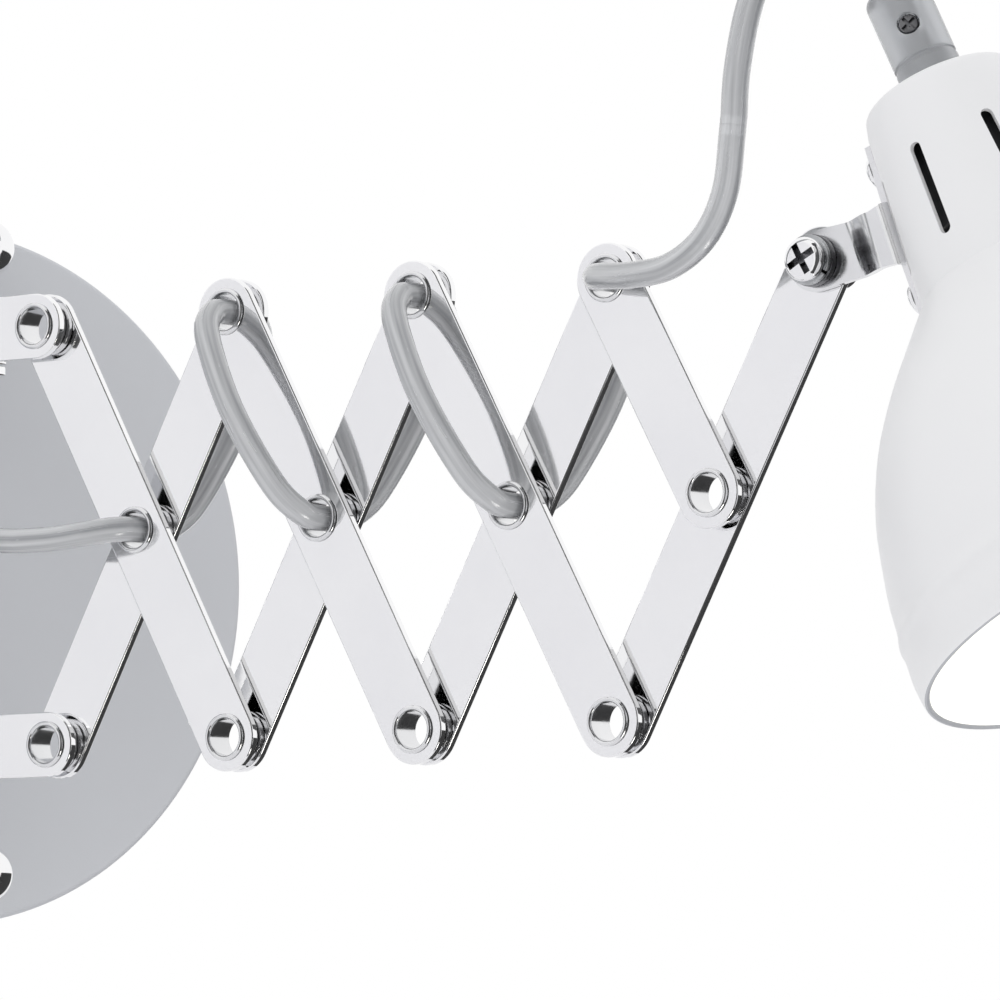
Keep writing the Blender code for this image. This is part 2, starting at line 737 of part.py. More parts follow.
def make_shade(looks, head, place):
    outer = [(radius * MM, along * MM) for radius, along in SHADE_OUTLINE]
    inner = [(radius - SHADE_SHEET, along) for radius, along in outer[2:]]
    inner = [(shade_radius(SHADE_SHEET) - SHADE_SHEET, SHADE_SHEET), *inner]
    profile = [(NECK_BORE, 0), *outer, *reversed(inner), (NECK_BORE, SHADE_SHEET)]
    shade = piece("shade", turned(profile, FINE), looks["lacquer"], head, place, radians(30))
    slots = []
    half = SLOT_WIDTH / 2
    for step in range(SLOT_COUNT):
        outline = stadium(SLOT_ENDS[0] + half, SLOT_ENDS[1] - half, half, 4)
        slot = sheet(outline, [], 12 * MM, 25 * MM)
        # A slot is drawn lying along X and facing Z, then stood along the neck and turned round it.
        stand = Matrix.Rotation(pi / 2, 4, "Y") @ Matrix.Rotation(pi, 4, "Z")
        around = Matrix.Rotation(FIRST_SLOT + 2 * pi * step / SLOT_COUNT, 4, "Z")
        slots.append(moved(slot, around @ stand))
    screw_holes = []
    for along in BRACKET_SCREW_PLACES:
        hole = rod(BRACKET_SCREW_HOLE, -30 * MM, -10 * MM, PIVOT_SIDES)
        turn = Matrix.Translation((0, 0, along)) @ Matrix.Rotation(pi / 2, 4, "Y")
        screw_holes.append(moved(hole, turn))
    combine(shade, "DIFFERENCE", joined(slots), "shade_slots")
    combine(shade, "DIFFERENCE", joined(screw_holes), "shade_screw_holes")


def neck_side_matrix():
    """A frame on the neck's arm side: Z down along its surface, X into the neck, at the pivot's height."""
    radius = shade_radius(BRACKET_HEIGHT_ON_NECK)
    slope = atan2(shade_radius(36 * MM) - shade_radius(6 * MM), 30 * MM)
    middle = Matrix.Translation((-radius, 0, BRACKET_HEIGHT_ON_NECK))
    return middle @ Matrix.Rotation(-slope, 4, "Y")


def make_head_bracket(looks, head, place):
    """A bent strap: a base flat on the neck's side, one bend, a set-back and an ear for the screw."""
    side = neck_side_matrix()
    local = (place @ side).inverted()
    ear_centre = local @ Vector((0, 0, 0))
    back = -BASE_WIDTH / 2
    half = HEAD_SHEET / 2
    base_x = -GAP - half
    ear_y = ear_layer_middle() - SHADE_LAYER
    bend_y = BASE_WIDTH / 2 - half
    bend = circle(STRAP_BEND, 5, (base_x - STRAP_BEND, bend_y - STRAP_BEND), 0, pi / 2)
    set_back = []
    for step in range(7):
        t = step / 6
        ease = t * t * (3 - 2 * t)
        x = STRAP_START + (STRAP_END - STRAP_START) * t
        set_back.append((x, bend_y + (ear_y - bend_y) * ease))
    tip = ear_centre.x - EAR_RADIUS - TRIM_SPARE
    line = [(base_x, back), *bend, *set_back, (tip, ear_y)]
    top, bottom = (end - BRACKET_HEIGHT_ON_NECK for end in BASE_ENDS)
    shape = strip(line, HEAD_SHEET, top, bottom)
    bracket = piece("head_bracket", shape, looks["chrome"], head, place @ side)
    combine(bracket, "INTERSECT", bracket_trim(ear_centre), "head_bracket_trim")
    holes = []
    for along in BRACKET_SCREW_PLACES:
        hole = rod(BRACKET_SCREW_HOLE, -8 * MM, 8 * MM, PIVOT_SIDES)
        height = along - BRACKET_HEIGHT_ON_NECK
        turn = Matrix.Translation((0, 0, height)) @ Matrix.Rotation(pi / 2, 4, "Y")
        holes.append(moved(hole, turn))
    pin_hole = rod(SCREW_HOLE, -8 * MM, 8 * MM, PIVOT_SIDES)
    pin_turn = Matrix.Rotation(pi / 2, 4, "X")
    holes.append(moved(pin_hole, Matrix.Translation(ear_centre) @ pin_turn))
    combine(bracket, "DIFFERENCE", joined(holes), "head_bracket_holes")


def strip(line, thickness, low, high):
    """A bent strip of sheet: a middle line in X and Y, given a thickness and a width along Z."""
    stops = [Vector(stop) for stop in line]
    left = []
    right = []
    for index, stop in enumerate(stops):
        before = stops[max(index - 1, 0)]
        after = stops[min(index + 1, len(stops) - 1)]
        normal = (after - before).normalized().orthogonal() * thickness / 2
        left.append(tuple(stop + normal))
        right.append(tuple(stop - normal))
    return sheet(left + right[::-1], [], low, high)


def bracket_trim(ear_centre):
    """The bracket's outline seen from the arm's front: the ear, a strap that widens, and the base."""
    ear = (ear_centre.x, ear_centre.z)
    top = BASE_ENDS[0] - BRACKET_HEIGHT_ON_NECK - TRIM_SPARE
    bottom = BASE_ENDS[1] - BRACKET_HEIGHT_ON_NECK + TRIM_SPARE
    outline = [
        *circle(EAR_RADIUS, 12, ear, pi * 0.555, pi),
        (-12 * MM, -1.9 * MM),
        (-5 * MM, -0.4 * MM),
        (-2.2 * MM, -0.7 * MM),
        (-1.9 * MM, top),
        (4 * MM, top),
        (4 * MM, bottom),
        (-1.9 * MM, bottom),
        (-2.2 * MM, 12.4 * MM),
        (-5 * MM, 11.8 * MM),
        (-12 * MM, 10.2 * MM),
    ]
    shape = sheet(outline, [], -12 * MM, 12 * MM)
    # The outline is drawn in X and Z, so it is turned from its own X and Y.
    return moved(shape, Matrix.Rotation(pi / 2, 4, "X"))


def ear_layer_middle():
    return REAR_LAYER + SHEET / 2 + RUNNING_GAP + HEAD_SHEET / 2


def make_tilt_stack(looks, head):
    """The screw, washers and nut that pinch the head bracket's ear against the last bar."""
    ear_front = ear_layer_middle() + HEAD_SHEET / 2
    washer_low = ear_front + RUNNING_GAP
    spring_low = washer_low + FRONT_WASHER + RUNNING_GAP
    seat = spring_low + SPRING_WASHER + RUNNING_GAP
    bar_back = REAR_LAYER - SHEET / 2
    rear_high = bar_back - RUNNING_GAP
    nut_high = rear_high - REAR_WASHER - RUNNING_GAP
    nut_low = nut_high - TILT_NUT
    bore = SCREW_RADIUS + GAP
    washer = ring(bore, WASHER_RADIUS, washer_low, washer_low + FRONT_WASHER)
    piece("front_washer", washer, looks["steel"], head)
    spring = ring(bore, SPRING_WASHER_RADIUS, spring_low, spring_low + SPRING_WASHER)
    piece("spring_washer", spring, looks["steel"], head)
    rear = ring(bore, WASHER_RADIUS, rear_high - REAR_WASHER, rear_high)
    piece("rear_washer", rear, looks["steel"], head)
    piece("tilt_nut", ring(bore, WASHER_RADIUS, nut_low, nut_high), looks["chrome"], head)
    profile = [
        (0, nut_low + 1 * MM),
        (SCREW_RADIUS, nut_low + 1 * MM),
        (SCREW_RADIUS, seat),
        (SCREW_HEAD_RADIUS, seat),
        (SCREW_HEAD_RADIUS, seat + 0.5 * SCREW_HEAD),
        (0.8 * SCREW_HEAD_RADIUS, seat + 0.9 * SCREW_HEAD),
        (0.4 * SCREW_HEAD_RADIUS, seat + SCREW_HEAD),
        (0, seat + SCREW_HEAD),
    ]
    screw = piece("tilt_screw", turned(profile, PIVOT_SIDES), looks["chrome"], head)
    reach = 1.1 * SCREW_HEAD_RADIUS
    lift = (0, 0, seat + SCREW_HEAD)
    recess = box((reach, 1 * MM, 2.4 * MM), lift)
    combine(screw, "DIFFERENCE", recess, "cross_recess_a")
    combine(screw, "DIFFERENCE", box((1 * MM, reach, 2.4 * MM), lift), "cross_recess_b")


def make_bracket_screws(looks, head, place):
    side = neck_side_matrix()
    seat = 2 * GAP + HEAD_SHEET
    for name, along in zip(("upper", "lower"), BRACKET_SCREW_PLACES):
        profile = [
            (0, -BRACKET_SCREW_LENGTH),
            (BRACKET_SCREW_RADIUS, -BRACKET_SCREW_LENGTH),
            (BRACKET_SCREW_RADIUS, seat),
            (DOME_RADIUS, seat),
            (DOME_RADIUS * 0.86, seat + DOME_HEIGHT * 0.55),
            (DOME_RADIUS * 0.5, seat + DOME_HEIGHT * 0.9),
            (0, seat + DOME_HEIGHT),
        ]
        height = along - BRACKET_HEIGHT_ON_NECK
        outward = Matrix.Translation((0, 0, height)) @ Matrix.Rotation(-pi / 2, 4, "Y")
        screw = turned(profile, PIVOT_SIDES)
        piece(f"{name}_bracket_screw", screw, looks["steel"], head, place @ side @ outward)


def make_lampholder(looks, head, place):
    top, bottom = HOLDER_ENDS
    floor = bottom - SOCKET_DEPTH
    profile = [
        (0, top),
        (HOLDER_RADIUS * 0.75, top),
        (HOLDER_RADIUS * 0.9, top + 4 * MM),
        (HOLDER_RADIUS, top + 20 * MM),
        (HOLDER_RADIUS, bottom - 1 * MM),
        (HOLDER_RADIUS - 1 * MM, bottom),
        (SOCKET_MOUTH + 1 * MM, bottom),
        (SOCKET_MOUTH, bottom - 1 * MM),
        (SOCKET_MOUTH, floor),
        (0, floor),
    ]
    piece("lampholder", turned(profile), looks["phenolic"], head, place)


def make_cord_grip(looks, head, place):
    wall = GRIP_RADIUS
    cable_bore = CABLE_DIAMETER / 2 + GAP
    foot = -GAP
    top = foot - GRIP_HEIGHT
    profile = [
        (NIPPLE_RADIUS + GAP, foot),
        (wall, foot),
        (wall, top + 1.5 * MM),
        (wall - 0.5 * MM, top + 0.4 * MM),
        (wall - 1.5 * MM, top),
        (cable_bore, top),
        (cable_bore, NIPPLE_TOP - GAP),
        (NIPPLE_RADIUS + GAP, NIPPLE_TOP - GAP),
    ]
    grip = piece("cord_grip", turned(profile), looks["clear"], head, place)
    around = Matrix.Rotation(GRIP_SCREW_TURN, 4, "Z")
    across = Matrix.Translation((0, 0, -GRIP_SCREW_HEIGHT)) @ around @ Matrix.Rotation(pi / 2, 4, "Y")
    drilled(grip, "grip_screw_hole", GRIP_SCREW_RADIUS + GAP, 0, 2 * wall, across, 12)
    screw_profile = [
        (0, cable_bore + GAP),
        (GRIP_SCREW_RADIUS, cable_bore + GAP),
        (GRIP_SCREW_RADIUS, wall - 0.5 * MM),
        (0, wall - 0.5 * MM),
    ]
    screw = turned(screw_profile, 12)
    piece("grip_screw", screw, looks["steel"], head, place @ across)
    nipple = ring(NIPPLE_BORE, NIPPLE_RADIUS, NIPPLE_TOP, HOLDER_ENDS[0] - GAP)
    piece("threaded_nipple", nipple, looks["steel"], head, place)
    under = SHADE_SHEET + GAP
    nut = hexagon(NIPPLE_NUT_RADIUS, NIPPLE_RADIUS + GAP, under, under + NIPPLE_NUT_HEIGHT)
    piece("nipple_nut", nut, looks["steel"], head, place)


# ---------------------------------------------------------------- cable


def bar_run(side):
    """A run between two pivots of one bar, half a bar apart, that bulges to the bar's front or back."""
    middle = -LAYER_PITCH / 2
    rim = middle + side * (LAYER_PITCH / 2 + SHEET)
    return [
        Vector((0, 0, middle + side * CABLE_GAP / 2)),
        Vector((0, 0, rim)),
        Vector((1.3 * MM, 0, rim + side * BULGE * 0.34)),
        Vector((HALF_BAR * 0.15, 0, rim + side * BULGE * 0.76)),
        Vector((HALF_BAR * 0.5, 0, rim + side * BULGE)),
        Vector((HALF_BAR * 0.85, 0, rim + side * BULGE * 0.76)),
        Vector((HALF_BAR - 1.3 * MM, 0, rim + side * BULGE * 0.34)),
        Vector((HALF_BAR, 0, rim)),
        Vector((HALF_BAR, 0, middle + side * CABLE_GAP / 2)),
    ]


def free_run(names, parents, route, look):
    """A free run of cable in two lengths that meet square at the route's marked middle point.

    Each parent comes with the matrix from the arm frame to its own frame.
    """
    before, joint, after = route
    stops = [Vector(stop) * MM for stop in (*before, joint, *after)]
    index = len(before)
    middle = stops[index]
    along = (stops[index + 1] - stops[index - 1]).normalized()
    gap = along * CABLE_GAP / 2
    straight = along * JOINT_STRAIGHT
    inner = [*stops[:index], middle - straight, middle - gap]
    outer = [middle + gap, middle + straight, *stops[index + 1 :]]
    for name, (parent, from_arm), points in zip(names, parents, (inner, outer)):
        cable(name, [from_arm @ point for point in points], look, parent)


def make_cables(looks, root, frames, swing):
    wall = (root, swing.matrix_basis)
    bar_1 = (frames["front_bar_1"], frames["front_bar_1"].matrix_basis.inverted())
    half_bar = (frames["front_half_bar"], frames["front_half_bar"].matrix_basis.inverted())
    head = (frames["head"], frames["head"].matrix_basis.inverted())
    look = looks["cable"]
    free_run(("cable_wall_inner", "cable_wall_outer"), (wall, bar_1), WALL_RUN, look)
    runs = ("rear_bar_1", "front_bar_2", "rear_bar_2", "front_bar_3", "rear_bar_3")
    for number, name in enumerate(runs, start=1):
        side = 1 if name.startswith("front") else -1
        cable(f"cable_run_{number}", bar_run(side), look, frames[name])
    free_run(("cable_head_inner", "cable_head_outer"), (half_bar, head), HEAD_RUN, look)


# ---------------------------------------------------------------- the lamp


def main():
    clear_scene()
    looks = make_materials()
    root = frame("wall_frame", Matrix.Identity(4))
    along = Vector((sin(ARM_YAW), -cos(ARM_YAW), 0))
    arm_turn = Matrix((along, UP, along.cross(UP))).transposed().to_4x4()
    swing = frame("swing_frame", Matrix.Translation((0, -ROD_OUT, 0)) @ arm_turn, root)

    make_wall_plate(looks, root)
    make_wall_strap(looks, root)
    make_rim_screws(looks, root)
    make_terminal_block(looks, root)
    make_grommet(looks, root)
    make_rod_and_balls(looks, root)

    frames = {"lower_bracket": frame("lower_bracket_frame", arm_place("B0"), swing)}
    for name, (pin, turn, *_) in BARS.items():
        frames[name] = frame(f"{name}_frame", arm_place(pin, turn), swing)
    frames["head"] = frame("head_frame", arm_place("T4"), swing)

    make_upper_bracket(looks, swing)
    make_lower_bracket(looks, frames["lower_bracket"])
    for name in BARS:
        bar(name, looks, frames)
    for name in EYELETS:
        eyelet(name, looks, frames)

    head = frames["head"]
    place = shade_matrix()
    make_shade(looks, head, place)
    make_head_bracket(looks, head, place)
    make_tilt_stack(looks, head)
    make_bracket_screws(looks, head, place)
    make_lampholder(looks, head, place)
    make_cord_grip(looks, head, place)
    make_cables(looks, root, frames, swing)


main()
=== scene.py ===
"""The look of the scissor arm wall lamp: fine pieces round the CAD frame, materials, light and camera.

Lengths are in metres, apart from WALL_RUN, HEAD_RUN, BELL_OUTLINE and the profiles in make_shade and
make_lampholder, which are in millimetres. The arm frame has X out along the arm, Y up and Z to the arm's
front, with the rod as its origin. The shade frame has Z down the shade's axis from the top of its neck.
"""

from math import asin, atan2, cos, pi, radians, sin

import bmesh
import bpy
from mathutils import Matrix, Vector


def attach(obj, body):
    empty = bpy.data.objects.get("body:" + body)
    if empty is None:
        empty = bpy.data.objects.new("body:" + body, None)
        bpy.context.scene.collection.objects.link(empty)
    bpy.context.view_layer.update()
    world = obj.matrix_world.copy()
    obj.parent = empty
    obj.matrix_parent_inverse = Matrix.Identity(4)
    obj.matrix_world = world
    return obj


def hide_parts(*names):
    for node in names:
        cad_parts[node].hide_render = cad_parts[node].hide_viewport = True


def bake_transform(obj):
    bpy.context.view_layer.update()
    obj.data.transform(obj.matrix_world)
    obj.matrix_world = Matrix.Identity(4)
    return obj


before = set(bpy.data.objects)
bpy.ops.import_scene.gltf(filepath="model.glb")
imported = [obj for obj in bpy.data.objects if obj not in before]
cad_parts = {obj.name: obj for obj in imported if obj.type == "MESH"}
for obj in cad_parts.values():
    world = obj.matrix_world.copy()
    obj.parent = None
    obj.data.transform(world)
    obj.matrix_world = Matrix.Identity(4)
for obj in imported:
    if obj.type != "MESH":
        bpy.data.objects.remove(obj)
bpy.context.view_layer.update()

MM = 0.001

# How finely things are drawn
SIDE_PITCH = 2 * MM
CABLE_PITCH = 1.6 * MM
CURVE_STEPS = 24
JACKET_SIDES = 24
CORE_SIDES = 10
SHADE_SIDES = 128

# Wall plate, rod and balls
PLATE_RADIUS = 79.5 * MM
PLATE_DEPTH = 14 * MM
PLATE_SHEET = 1.2 * MM
PLATE_EDGE = 1.5 * MM
ROD_OUT = 34.7 * MM
ROD_RADIUS = 3 * MM
UPPER_BALL = 72.2 * MM
LOWER_BALL = -68.2 * MM
BALL_RADIUS = 6.75 * MM
POST_RADIUS = 3 * MM

# Scissor arm
ARM_YAW = radians(21.2)
HALF_BAR = 53 * MM
BAR_LEAN = radians(28.6)
FIRST_PIVOT_OUT = 18.9 * MM
TOP_ROW = 53 * MM
BAR_WIDTH = 15 * MM
SHEET = 2 * MM
LAYER_PITCH = 4.2 * MM
BRACKET_HEIGHT = 14.5 * MM
BARREL_BORE = 3.25 * MM
FRONT_TURN = BAR_LEAN - pi / 2
REAR_TURN = pi / 2 - BAR_LEAN

# Eyelets and tilt joint
EYELET_BORE = 4.1 * MM
EYELET_TUBE = 4.6 * MM
EYELET_HOLE = 4.8 * MM
EYELET_RIM = 5.2 * MM
EYELET_COLLAR = 6 * MM
RUNNING_GAP = 0.2 * MM
GAP = 0.3 * MM
HEAD_SHEET = 1.5 * MM
EAR_RADIUS = 6.3 * MM
WASHER_RADIUS = 5.4 * MM
TILT_NUT = 4.4 * MM
TAB_HALF_WIDTH = 3.4 * MM
STRAP_START = -4.5 * MM
STRAP_END = -13.5 * MM
STRAP_STEPS = 18
BASE_MARGIN = 1 * MM
PIN_HOLE_RADIUS = 2.3 * MM
SCREW_RADIUS = 2 * MM
SCREW_HEAD_RADIUS = 4.6 * MM
SCREW_HEAD_HEIGHT = 2.5 * MM
FRONT_WASHER_SHEET = 1.6 * MM
SPRING_WASHER_SHEET = 1 * MM
SPRING_WASHER_RADIUS = 5.25 * MM
REAR_WASHER_SHEET = 1.2 * MM
DOME_RADIUS = 3.75 * MM
EAR_MIDDLE = -LAYER_PITCH + SHEET / 2 + RUNNING_GAP + HEAD_SHEET / 2

# Shade and what is on it
NECK_TOP = (251.92 * MM, 85.33 * MM, -2.1 * MM)
SHADE_LEAN = radians(26.14)
SHADE_SHEET = 1.2 * MM
NECK_TAPER = ((4 * MM, 17.2 * MM), (38 * MM, 20.8 * MM))
BASE_MIDDLE = 16 * MM
BASE_SLOPE = atan2(3.2, 30)
SLOT_COUNT = 7
FIRST_SLOT = radians(42)
SLOT_ENDS = (13.7 * MM, 34.8 * MM)
SLOT_WIDTH = 2.6 * MM
BASE_ENDS = (2.5 * MM, 40 * MM)
BRACKET_SCREW_PLACES = (7.5 * MM, 35.7 * MM)
GRIP_RADIUS = 6.75 * MM
GRIP_HEIGHT = 24 * MM
GRIP_SCREW_HEIGHT = 14 * MM
GRIP_SCREW_TURN = radians(64)

# Cable
CABLE_DIAMETER = 5.6 * MM
CABLE_GAP = 0.3 * MM
SEAM = 0.02 * MM
BULGE = 13 * MM
SQUARE_END = 2 * MM
CORE_COUNT = 3
CORE_RADIUS = 0.8 * MM
CORE_OFFSET = 1.0 * MM
CORE_TWIST = 150 * MM
WALL_RUN = (
    ((-29.2, 9, 1.5), (-19.9, 9, 5.1), (-13.5, 8.8, 8.3), (-4, 8, 11.6), (8, 6, 13.5)),
    (20, 4.4, 13.8),
    ((30, 4.4, 12.6), (37.5, 5.2, 10.8), (42, 6, 8), (44.1, 6.4, 4.6),
     (44.27, 6.47, 1.5), (44.27, 6.47, -1.9)),
)
HEAD_RUN = (
    ((171.12, 53, -1.9), (171.12, 53, 2), (172.4, 52.6, 6.5), (177.2, 52.1, 10.5),
     (186, 51.4, 13), (196.5, 52.4, 14), (205.3, 57.6, 14.5), (210.8, 66.5, 15)),
    (212.9, 80, 15),
    ((213.4, 92, 14), (215, 105.5, 11.5), (218.8, 116.5, 8.5), (225, 122.2, 5), (232, 121, 1.2),
     (237, 115, -1.4), (240.3, 108.9, -2.1), (243.1, 103.28, -2.1), (246.2, 97, -2.1), (247.4, 94.5, -2.1)),
)

# Frames
UP = Vector((0, 0, 1))
ALONG = Vector((sin(ARM_YAW), -cos(ARM_YAW), 0))
FRONT = ALONG.cross(UP)
ARM = Matrix.Translation((0, -ROD_OUT, 0)) @ Matrix((ALONG, UP, FRONT)).transposed().to_4x4()
ACROSS = Vector((cos(SHADE_LEAN), sin(SHADE_LEAN), 0))
DOWN = Vector((sin(SHADE_LEAN), -cos(SHADE_LEAN), 0))
HEAD_TURN = Matrix((ACROSS, Vector((0, 0, 1)), DOWN)).transposed().to_4x4()
SHADE = ARM @ Matrix.Translation(NECK_TOP) @ HEAD_TURN


# ---------------------------------------------------------------- materials


class Look:
    """A Principled material with short ways to add noise to its parts."""

    def __init__(self, name, colour, metallic, roughness):
        self.material = bpy.data.materials.new(name)
        self.material.use_nodes = True
        self.tree = self.material.node_tree
        self.shader = self.tree.nodes["Principled BSDF"]
        self.set("Base Color", (*colour, 1.0))
        self.set("Metallic", metallic)
        self.set("Roughness", roughness)
        self.place = self.tree.nodes.new("ShaderNodeTexCoord").outputs["Object"]

    def set(self, socket, value):
        self.shader.inputs[socket].default_value = value

    def noise(self, scale, detail=3.0, stretch=None):
        """A noise pattern fixed to the piece, with scale counted per metre."""
        node = self.tree.nodes.new("ShaderNodeTexNoise")
        node.inputs["Scale"].default_value = scale
        node.inputs["Detail"].default_value = detail
        source = self.place
        if stretch:
            mapping = self.tree.nodes.new("ShaderNodeMapping")
            mapping.inputs["Scale"].default_value = stretch
            self.tree.links.new(source, mapping.inputs["Vector"])
            source = mapping.outputs["Vector"]
        self.tree.links.new(source, node.inputs["Vector"])
        return node.outputs["Fac"]

    def spread(self, pattern, low, high, start=0.35, end=0.65):
        """Maps a pattern onto a range of plain values."""
        node = self.tree.nodes.new("ShaderNodeMapRange")
        node.inputs["From Min"].default_value = start
        node.inputs["From Max"].default_value = end
        node.inputs["To Min"].default_value = low
        node.inputs["To Max"].default_value = high
        self.tree.links.new(pattern, node.inputs["Value"])
        return node.outputs["Result"]

    def roughen(self, pattern, low, high):
        self.tree.links.new(self.spread(pattern, low, high), self.shader.inputs["Roughness"])

    def tint(self, pattern, first, second):
        ramp = self.tree.nodes.new("ShaderNodeValToRGB")
        ramp.color_ramp.elements[0].position = 0.35
        ramp.color_ramp.elements[0].color = (*first, 1.0)
        ramp.color_ramp.elements[1].position = 0.65
        ramp.color_ramp.elements[1].color = (*second, 1.0)
        self.tree.links.new(pattern, ramp.inputs["Fac"])
        self.tree.links.new(ramp.outputs["Color"], self.shader.inputs["Base Color"])

    def bump(self, pattern, height):
        node = self.tree.nodes.new("ShaderNodeBump")
        node.inputs["Distance"].default_value = height
        node.inputs["Strength"].default_value = 1.0
        self.tree.links.new(pattern, node.inputs["Height"])
        self.tree.links.new(node.outputs["Normal"], self.shader.inputs["Normal"])


def lacquer(name, light, dark, roughness, grain, height, painted_glow=0.0):
    """Sprayed lacquer with a faint orange peel, and where asked an emission from the lacquer itself:
    painted light, as if from a lit lamp.
    """
    look = Look(name, light, 0.0, roughness)
    look.tint(look.noise(14, 2), dark, light)
    look.roughen(look.noise(90, 4), roughness - 0.05, roughness + 0.06)
    look.bump(look.noise(grain, 2), height)
    look.set("Coat Weight", 0.12)
    look.set("Coat Roughness", 0.3)
    # An emission in the lacquer itself: painted light.
    if painted_glow:
        look.set("Emission Color", (1.0, 0.985, 0.93, 1.0))
        look.set("Emission Strength", painted_glow)
    return look.material


def chrome():
    """Polished plate with faint wipe marks."""
    look = Look("polished_chrome", (0.935, 0.935, 0.94), 1.0, 0.05)
    look.tint(look.noise(35, 4), (0.915, 0.915, 0.925), (0.945, 0.945, 0.95))
    look.roughen(look.noise(60, 5, (1.0, 1.0, 0.25)), 0.035, 0.085)
    look.bump(look.noise(45, 2), 0.000012)
    return look.material


def nickel():
    """Drawn and bent pieces with a softer, slightly darker shine than the polished bars."""
    look = Look("satin_nickel", (0.80, 0.80, 0.81), 1.0, 0.16)
    look.tint(look.noise(60, 3), (0.76, 0.765, 0.775), (0.83, 0.83, 0.84))
    look.roughen(look.noise(180, 3), 0.13, 0.2)
    look.bump(look.noise(120, 2), 0.000006)
    return look.material


def zinc():
    """Zinc plated steel with a fine brushed grain."""
    look = Look("zinc_steel", (0.52, 0.53, 0.54), 1.0, 0.3)
    look.tint(look.noise(220, 4), (0.44, 0.45, 0.46), (0.60, 0.61, 0.62))
    look.roughen(look.noise(400, 4), 0.2, 0.38)
    look.bump(look.noise(1500, 3, (1.0, 1.0, 0.15)), 0.00001)
    return look.material


def dark_steel_and_recess_shade():
    """Spring steel for the large washer and the grip's screw, and painted shade in the tilt screw's cross
    recess.
    """
    look = Look("dark_spring_steel_and_recess_shade", (0.16, 0.165, 0.17), 1.0, 0.28)
    look.tint(look.noise(260, 4), (0.12, 0.12, 0.13), (0.22, 0.22, 0.23))
    look.roughen(look.noise(500, 4), 0.2, 0.36)
    return look.material


def moulded(name, light, dark, roughness):
    """A plain surface with a fine mottle: plastics, rubber, and the dark grey painted shade inside the
    shade's neck.
    """
    look = Look(name, light, 0.0, roughness)
    look.tint(look.noise(60, 3), dark, light)
    look.roughen(look.noise(300, 3), roughness - 0.06, roughness + 0.06)
    look.bump(look.noise(1800, 2), 0.00001)
    return look.material


def clear_plastic(name, colour, roughness, ior):
    """Cloudy clear plastic that lets part of the light through."""
    look = Look(name, colour, 0.0, roughness)
    look.set("Transmission Weight", 0.6)
    look.set("IOR", ior)
    look.roughen(look.noise(160, 3), roughness - 0.03, roughness + 0.05)
    look.bump(look.noise(500, 3), 0.00002)
    return look.material


def jacket():
    """Clear cable jacket whose colour has long soft stripes along it: the cores' grey showing through, and
    painted highlights.
    """
    look = Look("clear_jacket", (0.62, 0.63, 0.65), 0.0, 0.2)
    look.place = look.tree.nodes.new("ShaderNodeTexCoord").outputs["UV"]
    # Long soft stripes of colour along the cable: partly the cores' grey, partly painted highlights.
    core_and_highlight_streaks = look.noise(1.0, 3, (9.0, 14.0, 1.0))
    look.tint(core_and_highlight_streaks, (0.42, 0.43, 0.45), (0.88, 0.89, 0.91))
    look.roughen(look.noise(1.0, 3, (14.0, 60.0, 1.0)), 0.14, 0.28)
    look.set("Transmission Weight", 0.35)
    look.set("IOR", 1.45)
    look.set("Coat Weight", 0.6)
    look.set("Coat Roughness", 0.08)
    look.bump(look.noise(1.0, 2, (5.0, 30.0, 1.0)), 0.00012)
    return look.material


def wire_core():
    """The tinned, stranded cores that show through the clear jacket."""
    look = Look("tinned_cores", (0.22, 0.225, 0.24), 0.6, 0.4)
    look.tint(look.noise(420, 4), (0.26, 0.27, 0.28), (0.48, 0.49, 0.50))
    look.roughen(look.noise(700, 4), 0.25, 0.45)
    look.bump(look.noise(2600, 2), 0.00006)
    return look.material


LOOKS = {
    "shade": lacquer("white_lacquer", (0.795, 0.797, 0.81), (0.785, 0.788, 0.80), 0.42, 900, 0.00001),
    # The inside of the bell: a brighter, warmer copy of the white lacquer that also shines by itself,
    # painted light inside the bell.
    "inside": lacquer("inner_lacquer_painted_light", (0.93, 0.93, 0.905), (0.92, 0.92, 0.89), 0.5, 900, 0.00001, 0.28),
    # The plate's lacquer is drawn light grey, darker than the shade's white.
    "plate": lacquer("grey_lacquer", (0.575, 0.587, 0.618), (0.562, 0.575, 0.605), 0.5, 1600, 0.000014),
    "chrome": chrome(),
    "nickel": nickel(),
    "steel": zinc(),
    "dark": dark_steel_and_recess_shade(),
    "jacket": jacket(),
    "core": wire_core(),
    "clear": clear_plastic("clear_grip", (0.66, 0.675, 0.70), 0.22, 1.46),
    "holder": moulded("black_thermoset", (0.085, 0.086, 0.092), (0.065, 0.066, 0.072), 0.38),
    "nylon": moulded("natural_nylon", (0.84, 0.84, 0.80), (0.80, 0.80, 0.76), 0.45),
    "rubber": moulded("grey_rubber", (0.55, 0.56, 0.57), (0.50, 0.51, 0.52), 0.6),
    # A darker grey on the faces of the bell's rim: painted shade along the lip.
    "lip": lacquer("lip_painted_shade", (0.42, 0.43, 0.46), (0.39, 0.40, 0.43), 0.45, 900, 0.00001),
    # Dark grey for the neck's inner wall: painted shade inside the neck, seen through its slots.
    "painted_neck_shade": moulded("neck_inside_painted_shade", (0.20, 0.20, 0.205), (0.15, 0.15, 0.155), 0.5),
}


# ---------------------------------------------------------------- shapes


def circle(radius, sides, centre=(0.0, 0.0), start=0.0, turn=2 * pi):
    """Points on a full circle, or on part of one with both its ends."""
    whole = abs(turn - 2 * pi) < 1e-6
    count = sides if whole else sides + 1
    points = []
    for step in range(count):
        angle = start + turn * step / sides
        points.append((centre[0] + radius * cos(angle), centre[1] + radius * sin(angle)))
    return points


